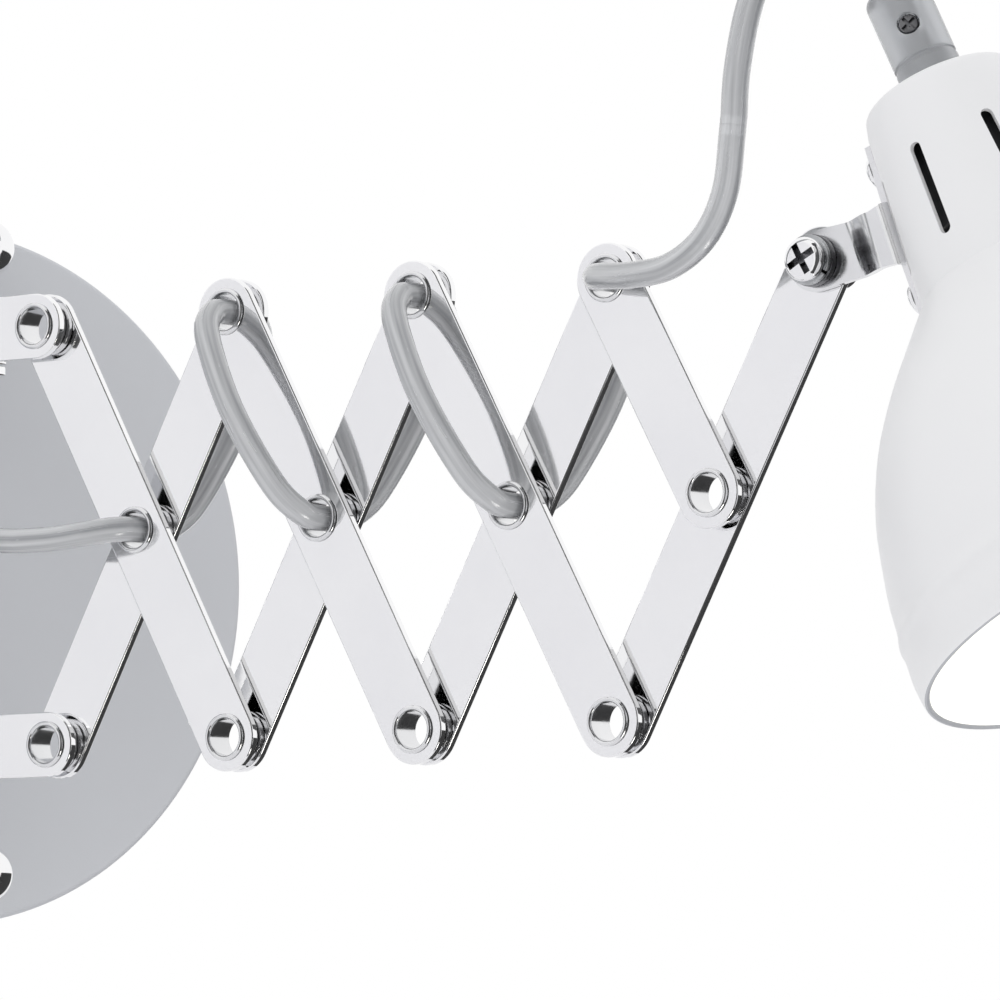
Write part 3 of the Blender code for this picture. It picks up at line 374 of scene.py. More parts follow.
def stadium(start, end, radius, sides=24):
    """The outline of a strip with two round ends along X, with points along its straight sides too."""
    right = circle(radius, sides, (end, 0.0), -pi / 2, pi)
    left = circle(radius, sides, (start, 0.0), pi / 2, pi)
    count = max(2, round((end - start) / SIDE_PITCH))
    steps = [start + (end - start) * step / count for step in range(1, count)]
    top = [(x, radius) for x in reversed(steps)]
    bottom = [(x, -radius) for x in steps]
    return right + top + left + bottom


def sheet(outline, holes, low, high):
    """A flat piece with this outline and these holes, between two heights along Z."""
    shape = bmesh.new()
    edges = []
    for loop in (outline, *holes):
        corners = [shape.verts.new((x, y, low)) for x, y in loop]
        for index, corner in enumerate(corners):
            edges.append(shape.edges.new((corners[index - 1], corner)))
    bmesh.ops.triangle_fill(shape, use_beauty=True, edges=edges)
    raised = bmesh.ops.extrude_face_region(shape, geom=shape.faces[:], use_keep_orig=True)
    lifted = [part for part in raised["geom"] if isinstance(part, bmesh.types.BMVert)]
    bmesh.ops.translate(shape, vec=(0, 0, high - low), verts=lifted)
    bmesh.ops.recalc_face_normals(shape, faces=shape.faces[:])
    return shape


def turned(profile, sides=64):
    """A piece turned about Z from (radius, height) points. A radius of 0 closes an end."""
    shape = bmesh.new()
    rings = []
    for radius, height in profile:
        if radius == 0:
            rings.append([shape.verts.new((0, 0, height))])
            continue
        rings.append([shape.verts.new((x, y, height)) for x, y in circle(radius, sides)])
    pairs = list(zip(rings, rings[1:]))
    if profile[0][0] != 0:
        pairs.append((rings[-1], rings[0]))
    for first, second in pairs:
        for index in range(sides):
            corners = [first[index % len(first)], first[(index + 1) % len(first)]]
            corners += [second[(index + 1) % len(second)], second[index % len(second)]]
            shape.faces.new(list(dict.fromkeys(corners)))
    bmesh.ops.recalc_face_normals(shape, faces=shape.faces[:])
    return shape


def rounded(points, radius, steps=4):
    """A closed (radius, height) outline with its corners rounded by quarter-like arcs."""
    result = []
    count = len(points)
    for index in range(count):
        corner = Vector(points[index])
        before = Vector(points[index - 1])
        after = Vector(points[(index + 1) % count])
        reach = min(radius, (before - corner).length * 0.45, (after - corner).length * 0.45)
        start = corner + (before - corner).normalized() * reach
        end = corner + (after - corner).normalized() * reach
        for step in range(steps + 1):
            t = step / steps
            point = start * (1 - t) ** 2 + corner * 2 * t * (1 - t) + end * t**2
            result.append((point.x, point.y))
    return result


def ring(bore, outer, low, high):
    """The (radius, height) outline of a plain ring."""
    return [(bore, low), (outer, low), (outer, high), (bore, high)]


def rod(radius, low, high, sides=32):
    return turned([(0, low), (radius, low), (radius, high), (0, high)], sides)


def round_rod(radius, low, high, edge, sides=48):
    """A solid rod with both its end edges rounded."""
    foot = circle(edge, 4, (radius - edge, low + edge), -pi / 2, pi / 2)
    crown = circle(edge, 4, (radius - edge, high - edge), 0, pi / 2)
    return turned([(0, low), *foot, *crown, (0, high)], sides)


def box(size, centre=(0, 0, 0)):
    shape = bmesh.new()
    bmesh.ops.create_cube(shape, size=1.0)
    bmesh.ops.scale(shape, vec=size, verts=shape.verts[:])
    bmesh.ops.translate(shape, vec=centre, verts=shape.verts[:])
    return shape


def moved(shape, matrix):
    bmesh.ops.transform(shape, matrix=matrix, verts=shape.verts[:])
    return shape


def joined(shapes):
    """Several shapes as one, which frees the shapes it is given."""
    whole = bmesh.new()
    for shape in shapes:
        part = bpy.data.meshes.new("part")
        shape.to_mesh(part)
        shape.free()
        whole.from_mesh(part)
        bpy.data.meshes.remove(part)
    return whole


def mesh_object(name, shape, place):
    """A new object in the scene, with the shape's mesh already in its place."""
    mesh = bpy.data.meshes.new(name)
    moved(shape, place).to_mesh(mesh)
    shape.free()
    made = bpy.data.objects.new(name, mesh)
    bpy.context.scene.collection.objects.link(made)
    return made


def carve(target, operation, shape, place):
    """Cuts a shape out of a piece, or keeps what is inside it, and leaves no helper behind."""
    tool = mesh_object("tool", shape, place)
    cut = target.modifiers.new("carve", "BOOLEAN")
    cut.operation = operation
    cut.solver = "EXACT"
    cut.object = tool
    bpy.context.view_layer.update()
    graph = bpy.context.evaluated_depsgraph_get()
    result = bpy.data.meshes.new_from_object(target.evaluated_get(graph))
    old = target.data
    target.modifiers.clear()
    target.data = result
    bpy.data.meshes.remove(old)
    bpy.data.objects.remove(tool, do_unlink=True)


def finish_piece(made, look, body, replaced=(), slot=None, edge=0.0, sharp=radians(32), ride=True):
    """Gives a piece its material, soft edges, shading and body, and hides the CAD parts it replaces."""
    parts = [face.material_index for face in made.data.polygons]
    made.data.materials.clear()
    for part in look if isinstance(look, tuple) else (look,):
        made.data.materials.append(LOOKS[part])
    made.data.polygons.foreach_set("material_index", parts)
    made.data.shade_smooth()
    if edge:
        bevel = made.modifiers.new("soft edges", "BEVEL")
        bevel.width = edge
        bevel.segments = 3
        bevel.limit_method = "ANGLE"
        bevel.angle_limit = sharp
        bevel.harden_normals = True
    made.data.set_sharp_from_angle(angle=sharp)
    if ride:
        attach(made, body)
    if replaced:
        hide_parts(*replaced)
    return made


def piece(name, shape, place, look, body, **options):
    return finish_piece(mesh_object(name, shape, place), look, body, **options)


def curve_point(before, start, end, after, t):
    """A point on the smooth curve from start to end, given the points before and after them."""
    point = 2 * start + (end - before) * t
    point += (2 * before - 5 * start + 4 * end - after) * t**2
    point += (3 * start - before - 3 * end + after) * t**3
    return point / 2


def smooth_curve(route, pitch):
    """Evenly spaced points on a smooth curve through a route, whose first and last steps stay straight."""
    stops = [Vector(stop) for stop in route]
    dense = []
    for before, start, end, after in zip(stops, stops[1:], stops[2:], stops[3:]):
        for step in range(CURVE_STEPS):
            dense.append(curve_point(before, start, end, after, step / CURVE_STEPS))
    dense.append(stops[-2])
    lengths = [0.0]
    for start, end in zip(dense, dense[1:]):
        lengths.append(lengths[-1] + (end - start).length)
    count = max(3, round(lengths[-1] / pitch))
    points = []
    reached = 0
    for step in range(count + 1):
        wanted = lengths[-1] * step / count
        while reached < len(dense) - 2 and lengths[reached + 1] < wanted:
            reached += 1
        part = (wanted - lengths[reached]) / (lengths[reached + 1] - lengths[reached])
        points.append(dense[reached].lerp(dense[reached + 1], part))
    return [stops[0], *points, stops[-1]]


def along_frames(points):
    """A direction and two steady side directions at each point of a route."""
    frames = []
    side = None
    for index, point in enumerate(points):
        before = points[max(index - 1, 0)]
        after = points[min(index + 1, len(points) - 1)]
        ahead = (after - before).normalized()
        if side is None:
            side = ahead.orthogonal().normalized()
        side = (side - ahead * side.dot(ahead)).normalized()
        frames.append((point, side, ahead.cross(side)))
    return frames


def add_tube(shape, rings, runs, material_index):
    """Joins rings of points into a closed tube, with how far round and how far along it as its map."""
    layer = shape.loops.layers.uv.verify()
    made = [[shape.verts.new(point) for point in ring] for ring in rings]
    sides = len(made[0])
    for row, (first, second) in enumerate(zip(made, made[1:])):
        for index in range(sides):
            after = (index + 1) % sides
            face = shape.faces.new((first[index], first[after], second[after], second[index]))
            face.material_index = material_index
            near, far = index / sides, (index + 1) / sides
            start, end = runs[row], runs[row + 1]
            for loop, place in zip(face.loops, ((near, start), (far, start), (far, end), (near, end))):
                loop[layer].uv = place
    for ends in (made[0][::-1], made[-1]):
        shape.faces.new(ends).material_index = material_index


def cable_shape(frames, start=0.0):
    """A clear round jacket over three slowly twisting cores, with how far along the cable it starts."""
    shape = bmesh.new()
    runs = [start]
    for before, after in zip(frames, frames[1:]):
        runs.append(runs[-1] + (after[0] - before[0]).length)
    rings = []
    for point, side, other in frames:
        rings.append([point + side * x + other * y for x, y in circle(CABLE_DIAMETER / 2, JACKET_SIDES)])
    add_tube(shape, rings, runs, 0)
    for core in range(CORE_COUNT):
        rings = []
        for run, (point, side, other) in zip(runs, frames):
            turn = 2 * pi * (run / CORE_TWIST + core / CORE_COUNT)
            centre = point + side * CORE_OFFSET * cos(turn) + other * CORE_OFFSET * sin(turn)
            rings.append([centre + side * x + other * y for x, y in circle(CORE_RADIUS, CORE_SIDES)])
        add_tube(shape, rings[1:-1], runs[1:-1], 1)
    bmesh.ops.recalc_face_normals(shape, faces=shape.faces[:])
    return shape


# ---------------------------------------------------------------- camera and light


def make_camera():
    """Seen from the left and slightly below, from about a metre and a half away."""
    azimuth = radians(-32.994)
    elevation = radians(-4.857)
    roll = radians(-0.255)
    distance = 1.5008
    away = Vector((sin(azimuth) * cos(elevation), -cos(azimuth) * cos(elevation), sin(elevation)))
    right = Vector((cos(azimuth), sin(azimuth), 0))
    above = away.cross(right)
    turned_right = right * cos(roll) + above * sin(roll)
    turned_above = above * cos(roll) - right * sin(roll)
    target = turned_right * 0.13469 + turned_above * 0.017955
    data = bpy.data.cameras.new("camera")
    data.lens = 236.2
    data.sensor_width = 36.0
    data.clip_end = 20.0
    camera = bpy.data.objects.new("camera", data)
    turn = Matrix((turned_right, turned_above, away)).transposed().to_4x4()
    camera.matrix_world = Matrix.Translation(target + away * distance) @ turn
    bpy.context.scene.collection.objects.link(camera)
    bpy.context.scene.camera = camera


def soft_light(name, place, aim, size, power, colour=(1.0, 1.0, 1.0)):
    data = bpy.data.lights.new(name, "AREA")
    data.shape = "DISK"
    data.size = size
    data.energy = power
    data.color = colour
    light = bpy.data.objects.new(name, data)
    light.location = place
    direction = Vector(aim) - Vector(place)
    light.rotation_euler = direction.to_track_quat("-Z", "Y").to_euler()
    light.visible_camera = False
    bpy.context.scene.collection.objects.link(light)


def studio_card(name, size, place, facing, shade, only_reflected=True, shades_pieces=False):
    """A flat card of the studio; one that is only reflected is never seen straight from the camera."""
    shape = bmesh.new()
    bmesh.ops.create_grid(shape, x_segments=1, y_segments=1, size=0.5)
    bmesh.ops.scale(shape, vec=(size[0], size[1], 1), verts=shape.verts[:])
    turn = Vector(facing).to_track_quat("Z", "Y").to_matrix().to_4x4()
    card = mesh_object(name, shape, Matrix.Translation(place) @ turn)
    card.data.materials.append(Look(name, (shade, shade, shade * 1.02), 0.0, 0.8).material)
    card.visible_camera = not only_reflected
    card.visible_diffuse = shades_pieces or not only_reflected
    card.visible_shadow = not only_reflected


def make_studio():
    """A white surround, the floor, the cards that shape the chrome, and two soft lights."""
    scene = bpy.context.scene
    scene.view_settings.view_transform = "Standard"
    world = bpy.data.worlds.new("studio")
    world.use_nodes = True
    background = world.node_tree.nodes["Background"]
    background.inputs["Color"].default_value = (1.0, 1.0, 1.0, 1.0)
    background.inputs["Strength"].default_value = 1.0
    scene.world = world
    studio_card("floor", (8, 8), (0, 0, -1.5), (0, 0, 1), 0.85, only_reflected=False)
    studio_card("left_card", (1.4, 1.4), (-1.3, 0.2, 0.15), (1, -0.2, 0), 0.95)
    studio_card("camera_side_card", (3.4, 2.6), (-0.5, -1.75, 0.25), (0.3, 1, 0), 0.07)
    studio_card("low_right_card", (1.6, 1.0), (0.95, -0.3, -0.5), (-1, 0.1, 0.5), 0.03, shades_pieces=True)
    studio_card("top_card", (3.0, 1.2), (-0.1, -1.3, 1.5), (0, 1, -0.9), 0.05)
    studio_card("low_front_card", (2.0, 0.8), (-0.1, -0.95, -0.59), (0, 0, 1), 0.05)
    soft_light("key", (-1.1, -1.5, 1.0), (0.1, -0.2, 0.0), 1.2, 2.2)
    soft_light("lift", (0.16, -0.42, -0.32), (0.11, -0.31, -0.02), 0.16, 0.35, (1.0, 0.985, 0.94))


# ---------------------------------------------------------------- cable


def cable_run(name, points, body, node):
    """A length of cable that the eyelets hold, riding on one bar."""
    world = [ARM @ point for point in smooth_curve(points, CABLE_PITCH)]
    shape = cable_shape(along_frames(world))
    made = mesh_object(name, shape, Matrix.Identity(4))
    return finish_piece(made, ("jacket", "core"), body, replaced=(node,), slot="cable")


def bar_place(pin, turn):
    """A bar's own frame in the arm frame, with X along the bar from its pin."""
    return Matrix.Translation(pivot(pin)) @ Matrix.Rotation(turn, 4, "Z")


def pivot(name):
    """The place of a pivot in the arm frame: T, M or B for its row and a number counted outwards."""
    row = {"T": 0, "M": 1, "B": 2}[name[0]]
    column = 2 * int(name[1]) + row % 2
    out = FIRST_PIVOT_OUT + column * HALF_BAR * sin(BAR_LEAN)
    return Vector((out, TOP_ROW - row * HALF_BAR * cos(BAR_LEAN), 0))


def bar_run(side):
    """A run between two pivots of one bar, half a bar apart, that bulges to the bar's front or back."""
    middle = -LAYER_PITCH / 2
    rim = middle + side * (LAYER_PITCH / 2 + SHEET)
    return [
        Vector((0, 0, middle + side * CABLE_GAP / 2)),
        Vector((0, 0, rim)),
        Vector((1.3 * MM, 0, rim + side * BULGE * 0.34)),
        Vector((HALF_BAR * 0.15, 0, rim + side * BULGE * 0.76)),
        Vector((HALF_BAR * 0.5, 0, rim + side * BULGE)),
        Vector((HALF_BAR * 0.85, 0, rim + side * BULGE * 0.76)),
        Vector((HALF_BAR - 1.3 * MM, 0, rim + side * BULGE * 0.34)),
        Vector((HALF_BAR, 0, rim)),
        Vector((HALF_BAR, 0, middle + side * CABLE_GAP / 2)),
    ]


def run_length(points):
    return sum((after - before).length for before, after in zip(points, points[1:]))


def free_run(names, bodies, route):
    """A free run in two lengths that meet square."""
    before, joint, after = route
    stops = [ARM @ (Vector(stop) * MM) for stop in (*before, joint, *after)]
    index = len(before)
    along = (stops[index + 1] - stops[index - 1]).normalized()
    middle = stops[index]
    inner = [*stops[:index], middle - along * SQUARE_END, middle - along * SEAM / 2]
    outer = [middle + along * SEAM / 2, middle + along * SQUARE_END, *stops[index + 1 :]]
    paths = [smooth_curve(points, CABLE_PITCH) for points in (inner, outer)]
    frames = along_frames([*paths[0], *paths[1]])
    halves = (frames[: len(paths[0])], frames[len(paths[0]) :])
    starts = (0.0, run_length(paths[0]))
    for name, pair, path, half, start in zip(names, bodies, paths, halves, starts):
        made = mesh_object(f"{name}_lead", cable_shape(half, start), Matrix.Identity(4))
        finish_piece(made, ("jacket", "core"), None, replaced=(name,), slot="cable", ride=False)
        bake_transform(made)


def make_cables():
    free_run(
        ("cable_wall_inner", "cable_wall_outer"),
        (("wall_mount", "upper_bracket"), ("upper_bracket", "front_bar_1")),
        WALL_RUN,
    )
    free_run(
        ("cable_head_inner", "cable_head_outer"),
        (("front_half_bar", "rear_bar_4"), ("rear_bar_4", "head")),
        HEAD_RUN,
    )
    runs = (
        ("rear_bar_1", "M0", REAR_TURN, -1),
        ("front_bar_2", "T1", FRONT_TURN, 1),
        ("rear_bar_2", "M1", REAR_TURN, -1),
        ("front_bar_3", "T2", FRONT_TURN, 1),
        ("rear_bar_3", "M2", REAR_TURN, -1),
    )
    for number, (body, pin, turn, side) in enumerate(runs, start=1):
        points = [bar_place(pin, turn) @ point for point in bar_run(side)]
        cable_run(f"threaded_cable_{number}", points, body, f"cable_run_{number}")


# ---------------------------------------------------------------- wall plate, rod and balls


def wall_place(x, z, depth=0.0):
    """A frame on the wall, or out from it, with Z away from the wall."""
    return Matrix.Translation((x, -depth, z)) @ Matrix.Rotation(pi / 2, 4, "X")


def make_plate():
    outer = PLATE_RADIUS
    inner = outer - PLATE_SHEET
    back = PLATE_DEPTH - PLATE_SHEET
    edge = circle(PLATE_EDGE, 8, (outer - PLATE_EDGE, PLATE_DEPTH - PLATE_EDGE), pi / 2, -pi / 2)
    soft = 0.2 * MM
    lip = [(outer, 1.2 * MM), (outer, soft), (outer - soft, 0), (inner + soft, 0), (inner, soft)]
    profile = [(0, PLATE_DEPTH), (40 * MM, PLATE_DEPTH), *edge, *lip, (inner, back), (0, back)]
    piece("plate_shell", turned(profile, 160), wall_place(0, 0), "plate", "wall_mount",
          replaced=("wall_plate",), slot="plate")


def make_rod_and_balls():
    for name, height in (("upper", UPPER_BALL), ("lower", LOWER_BALL)):
        arc = circle(BALL_RADIUS, 32, (0, 0), -pi / 2, pi)
        profile = [(0, -BALL_RADIUS), *arc[1:-1], (0, BALL_RADIUS)]
        piece(f"{name}_rod_ball", turned(profile, 64), wall_place(0, height, ROD_OUT), "chrome",
              "wall_mount", replaced=(f"{name}_ball",), slot="chrome")
        foot = PLATE_DEPTH + GAP
        post = [
            (0, PLATE_DEPTH - 4.5 * MM),
            (2 * MM, PLATE_DEPTH - 4.5 * MM),
            (2 * MM, foot - GAP / 2),
            (POST_RADIUS + 0.6 * MM, foot - GAP / 2),
            (POST_RADIUS + 0.9 * MM, foot + 0.3 * MM),
            (POST_RADIUS + 0.7 * MM, foot + 1.0 * MM),
            (POST_RADIUS, foot + 1.3 * MM),
            (POST_RADIUS, ROD_OUT - 3 * MM),
            (0, ROD_OUT - 3 * MM),
        ]
        piece(f"{name}_standoff", turned(post, 48), wall_place(0, height), "chrome", "wall_mount",
              replaced=(f"{name}_post",), slot="chrome")
    upright = Matrix.Translation((0, -ROD_OUT, 0))
    piece("pivot_rod", rod(ROD_RADIUS, LOWER_BALL + 4.8 * MM, UPPER_BALL - 4.8 * MM, 48), upright,
          "chrome", "wall_mount", replaced=("rod",), slot="chrome")
    top = TOP_ROW - BRACKET_HEIGHT / 2 - GAP
    collar = ring(BARREL_BORE, 5 * MM, top - 2.2 * MM, top)
    piece("rod_collar", turned(rounded(collar, 0.4 * MM), 64), upright, "chrome", "wall_mount",
          replaced=("stop_collar",), slot="chrome")


def make_grommet():
    neck = CABLE_DIAMETER / 2 + 1.2 * MM
    bore = CABLE_DIAMETER / 2 + 0.1 * MM
    flange = neck + 1.6 * MM
    back = PLATE_DEPTH - PLATE_SHEET
    outline = [
        (bore, back - 2 * MM),
        (flange, back - 2 * MM),
        (flange, back - GAP),
        (neck, back - GAP),
        (neck, PLATE_DEPTH + 0.1 * MM),
        (flange, PLATE_DEPTH + 0.1 * MM),
        (flange - 0.6 * MM, PLATE_DEPTH + 1.8 * MM),
        (bore, PLATE_DEPTH + 1.8 * MM),
    ]
    piece("cable_bush", turned(rounded(outline, 0.5 * MM), 48), wall_place(-12 * MM, 9 * MM), "rubber",
          "wall_mount", replaced=("cable_grommet",), slot="grommet")


# ---------------------------------------------------------------- scissor arm

BARS = {
    "front_bar_1": ("T0", FRONT_TURN, 0.0, (0, 1, 2)),
    "rear_bar_1": ("M0", REAR_TURN, -LAYER_PITCH, (-1, 0, 1)),
    "front_bar_2": ("T1", FRONT_TURN, 0.0, (0, 1, 2)),
    "rear_bar_2": ("M1", REAR_TURN, -LAYER_PITCH, (-1, 0, 1)),
    "front_bar_3": ("T2", FRONT_TURN, 0.0, (0, 1, 2)),
    "rear_bar_3": ("M2", REAR_TURN, -LAYER_PITCH, (-1, 0, 1)),
    "front_half_bar": ("T3", FRONT_TURN, 0.0, (0, 1)),
    "rear_bar_4": ("M3", REAR_TURN, -LAYER_PITCH, (-1, 0, 1)),
}

EYELETS = {
    "T0": "front_bar_1",
    "M0": "front_bar_1",
    "B1": "front_bar_1",
    "T1": "front_bar_2",
    "M1": "front_bar_2",
    "B2": "front_bar_2",
    "T2": "front_bar_3",
    "M2": "front_bar_3",
    "B3": "front_bar_3",
    "T3": "front_half_bar",
    "M3": "front_half_bar",
    "B0": "lower_bracket",
}


def make_bars():
    for name, (pin, turn, layer, holes) in BARS.items():
        outline = stadium(holes[0] * HALF_BAR, holes[-1] * HALF_BAR, BAR_WIDTH / 2, 28)
        rims = []
        for hole in holes:
            screw_here = name == "rear_bar_4" and hole == holes[-1]
            radius = PIN_HOLE_RADIUS if screw_here else EYELET_HOLE
            rims.append(circle(radius, 40, (hole * HALF_BAR, 0)))
        shape = sheet(outline, rims, layer - SHEET / 2, layer + SHEET / 2)
        piece(f"{name}_strip", shape, ARM @ bar_place(pin, turn), "chrome", name,
              replaced=(name,), slot="chrome", edge=0.4 * MM)


def rolled_rim(face, side):
    """The rolled-over end of an eyelet, from its bore round to its underside on the bar's face."""
    bulge = 0.8 * MM
    middle = (EYELET_BORE + EYELET_RIM) / 2
    half = (EYELET_RIM - EYELET_BORE) / 2
    points = []
    for step in range(9):
        angle = pi * step / 8
        points.append((middle - half * cos(angle), face + side * bulge * (0.15 + 0.85 * sin(angle))))
    return points


def make_eyelets():
    for name, body in EYELETS.items():
        top_layer = LAYER_PITCH if name == "T0" else 0.0
        front = top_layer + SHEET / 2
        back = top_layer - LAYER_PITCH - SHEET / 2
        collar_front = top_layer - SHEET / 2 - RUNNING_GAP
        collar_back = top_layer - LAYER_PITCH + SHEET / 2 + RUNNING_GAP
        profile = [
            *rolled_rim(front, 1),
            (EYELET_TUBE, front + 0.02 * MM),
            (EYELET_TUBE, collar_front),
            (EYELET_COLLAR - 0.2 * MM, collar_front),
            (EYELET_COLLAR, collar_front - 0.2 * MM),
            (EYELET_COLLAR, collar_back + 0.2 * MM),
            (EYELET_COLLAR - 0.2 * MM, collar_back),
            (EYELET_TUBE, collar_back),
            (EYELET_TUBE, back - 0.02 * MM),
            *reversed(rolled_rim(back, -1)),
        ]
        row = {"T": "top", "M": "middle", "B": "bottom"}[name[0]]
        place = ARM @ Matrix.Translation(pivot(name))
        piece(f"{row}_rivet_{name[1]}", turned(profile, 56), place, "nickel", body,
              replaced=(f"{row}_eyelet_{name[1]}",), slot="chrome")


def bracket(name, outline, pin_height, body, node):
    """A rod bracket: a profile seen from above, as tall as the bracket, with a round outer end."""
    shape = sheet(outline, [circle(BARREL_BORE, 48)], -BRACKET_HEIGHT, BRACKET_HEIGHT)
    stand = Matrix(((1, 0, 0, 0), (0, 0, 1, 0), (0, 1, 0, 0), (0, 0, 0, 1)))
    moved(shape, stand)
    bmesh.ops.reverse_faces(shape, faces=shape.faces[:])
    place = ARM @ Matrix.Translation((0, pin_height, 0))
    made = mesh_object(name, shape, place)
    half = BRACKET_HEIGHT / 2
    end = circle(half, 32, (FIRST_PIVOT_OUT, 0), -pi / 2, pi)
    trim = sheet([(-10 * MM, -half), *end, (-10 * MM, half)], [], -20 * MM, 20 * MM)
    carve(made, "INTERSECT", trim, place)
    hole = moved(rod(EYELET_HOLE, -20 * MM, 20 * MM, 48), Matrix.Translation((FIRST_PIVOT_OUT, 0, 0)))
    carve(made, "DIFFERENCE", hole, place)
    finish_piece(made, "chrome", body, replaced=(node,), slot="chrome", edge=0.4 * MM)


def make_brackets():
    outer = BARREL_BORE + SHEET - RUNNING_GAP / 4
    low = LAYER_PITCH - SHEET / 2
    high = LAYER_PITCH + SHEET / 2
    reach = FIRST_PIVOT_OUT + BRACKET_HEIGHT
    end = asin(low / outer)
    wrap = circle(outer, 48, (0, 0), pi / 2, 1.5 * pi + end)
    bracket("rod_strap", [(reach, low), (reach, high), *wrap], TOP_ROW, "upper_bracket", "upper_bracket")
    outer = 4.8 * MM
    half = SHEET / 2
    lean = asin(half / outer)
    wrap = circle(outer, 48, (0, 0), lean, 2 * pi - 2 * lean)
    outline = [(reach, -half), (reach, half), *wrap]
    bottom_row = TOP_ROW - 2 * HALF_BAR * cos(BAR_LEAN)
    bracket("rod_slider", outline, bottom_row, "lower_bracket", "lower_bracket")


# ---------------------------------------------------------------- shade

BELL_OUTLINE = (
    (21.2, 42.3), (28.2, 50.5), (34.9, 58.6), (41.7, 68.7), (47.1, 80.8), (50.2, 93), (51.15, 98),
)


def flowing(points, steps):
    """A smooth line through (radius, height) points."""
    stops = [Vector(point) for point in points]
    padded = [2 * stops[0] - stops[1], *stops, 2 * stops[-1] - stops[-2]]
    line = []
    for before, start, end, after in zip(padded, padded[1:], padded[2:], padded[3:]):
        for step in range(steps):
            line.append(tuple(curve_point(before, start, end, after, step / steps)))
    line.append(tuple(stops[-1]))
    return line


def shade_radius(along):
    """The neck's outer radius at a distance down its axis."""
    (start, narrow), (end, wide) = NECK_TAPER
    return narrow + (along - start) * (wide - narrow) / (end - start)


def make_shade():
    neck_edge = circle(1.6, 6, (14.95, 1.6), -pi / 2, pi / 2 * 0.93)
    neck = [*neck_edge, (17.2, 4), (18.1, 12.5), (18.9, 20), (19.8, 28.5), (20.8, 38), (21.05, 41)]
    bell = flowing(BELL_OUTLINE, 4)
    bead = [(51.45, 100.5), (51.7, 102.5), (52.0, 104.2), (52.4, 105.4), (52.6, 106.4), (52.45, 107.5)]
    skirt = flowing(((52.4, 108.6), (52.55, 110.5), (52.75, 113), (52.7, 116), (52.5, 118.2)), 2)
    outer = [*neck, *bell, *bead, *skirt]
    rim = [(52.3, 118.8), (51.9, 119), (51.4, 118.9), (51.1, 118.5)]
    wall = SHADE_SHEET / MM
    inside = [(radius - wall - 0.25, along) for radius, along in reversed(skirt[:-1])]
    inside += [(50.1, 101), (50.0, 99)]
    inside += [(radius - wall, along) for radius, along in reversed(bell[:-1])]
    inside += [(radius - wall, along) for radius, along in reversed(neck[8:])]
    inside += [(15.8, 2.6), (14.6, wall)]
    profile = [(5.2, 0), *outer, *rim, *inside, (5.2, wall)]
    shape = turned([(radius * MM, along * MM) for radius, along in profile], SHADE_SIDES)
    looks = ("shade", "inside", "painted_neck_shade", "lip")
    first_inside = len(outer) + len(rim) - 1
    first_painted_neck_shade = len(profile) - 1 - len(neck[8:]) - 3
    # Faces of the rim take the darker lip grey, painted shade; the neck's inner wall takes dark grey,
    # painted shade; the rest of the inside takes the brighter self-lit lacquer, painted light.
    for index, face in enumerate(shape.faces):
        row = index // SHADE_SIDES
        look = "shade"
        if len(outer) < row <= first_inside:
            look = "lip"
        elif row > first_painted_neck_shade:
            look = "painted_neck_shade"
        elif row > first_inside:
            look = "inside"
        face.material_index = looks.index(look)
    made = mesh_object("bell_shade", shape, SHADE)
    for look in looks:
        made.data.materials.append(LOOKS[look])
    slots = []
    half = SLOT_WIDTH / 2
    for step in range(SLOT_COUNT):
        outline = stadium(SLOT_ENDS[0] + half, SLOT_ENDS[1] - half, half, 12)
        slot = sheet(outline, [], 12 * MM, 25 * MM)
        stand = Matrix.Rotation(pi / 2, 4, "Y") @ Matrix.Rotation(pi, 4, "Z")
        around = Matrix.Rotation(FIRST_SLOT + 2 * pi * step / SLOT_COUNT, 4, "Z")
        slots.append(moved(slot, around @ stand))
    carve(made, "DIFFERENCE", joined(slots), SHADE)
    finish_piece(made, looks, "head", replaced=("shade",), slot="shade", sharp=radians(28))


# ---------------------------------------------------------------- head bracket and tilt joint


def neck_side():
    """The frame on the neck's side at the middle of the bracket's base, with X towards the axis."""
    middle = Matrix.Translation((-shade_radius(BASE_MIDDLE), 0, BASE_MIDDLE))
    return middle @ Matrix.Rotation(-BASE_SLOPE, 4, "Y")


def strip(line, thickness, low, high):
    """A bent strip along a line of points, between two heights along Z."""
    stops = [Vector(stop) for stop in line]
    left = []
    right = []
    for index, stop in enumerate(stops):
        before = stops[max(index - 1, 0)]
        after = stops[min(index + 1, len(stops) - 1)]
        normal = (after - before).normalized().orthogonal() * thickness / 2
        left.append(tuple(stop + normal))
        right.append(tuple(stop - normal))
    return sheet(left + right[::-1], [], low, high)


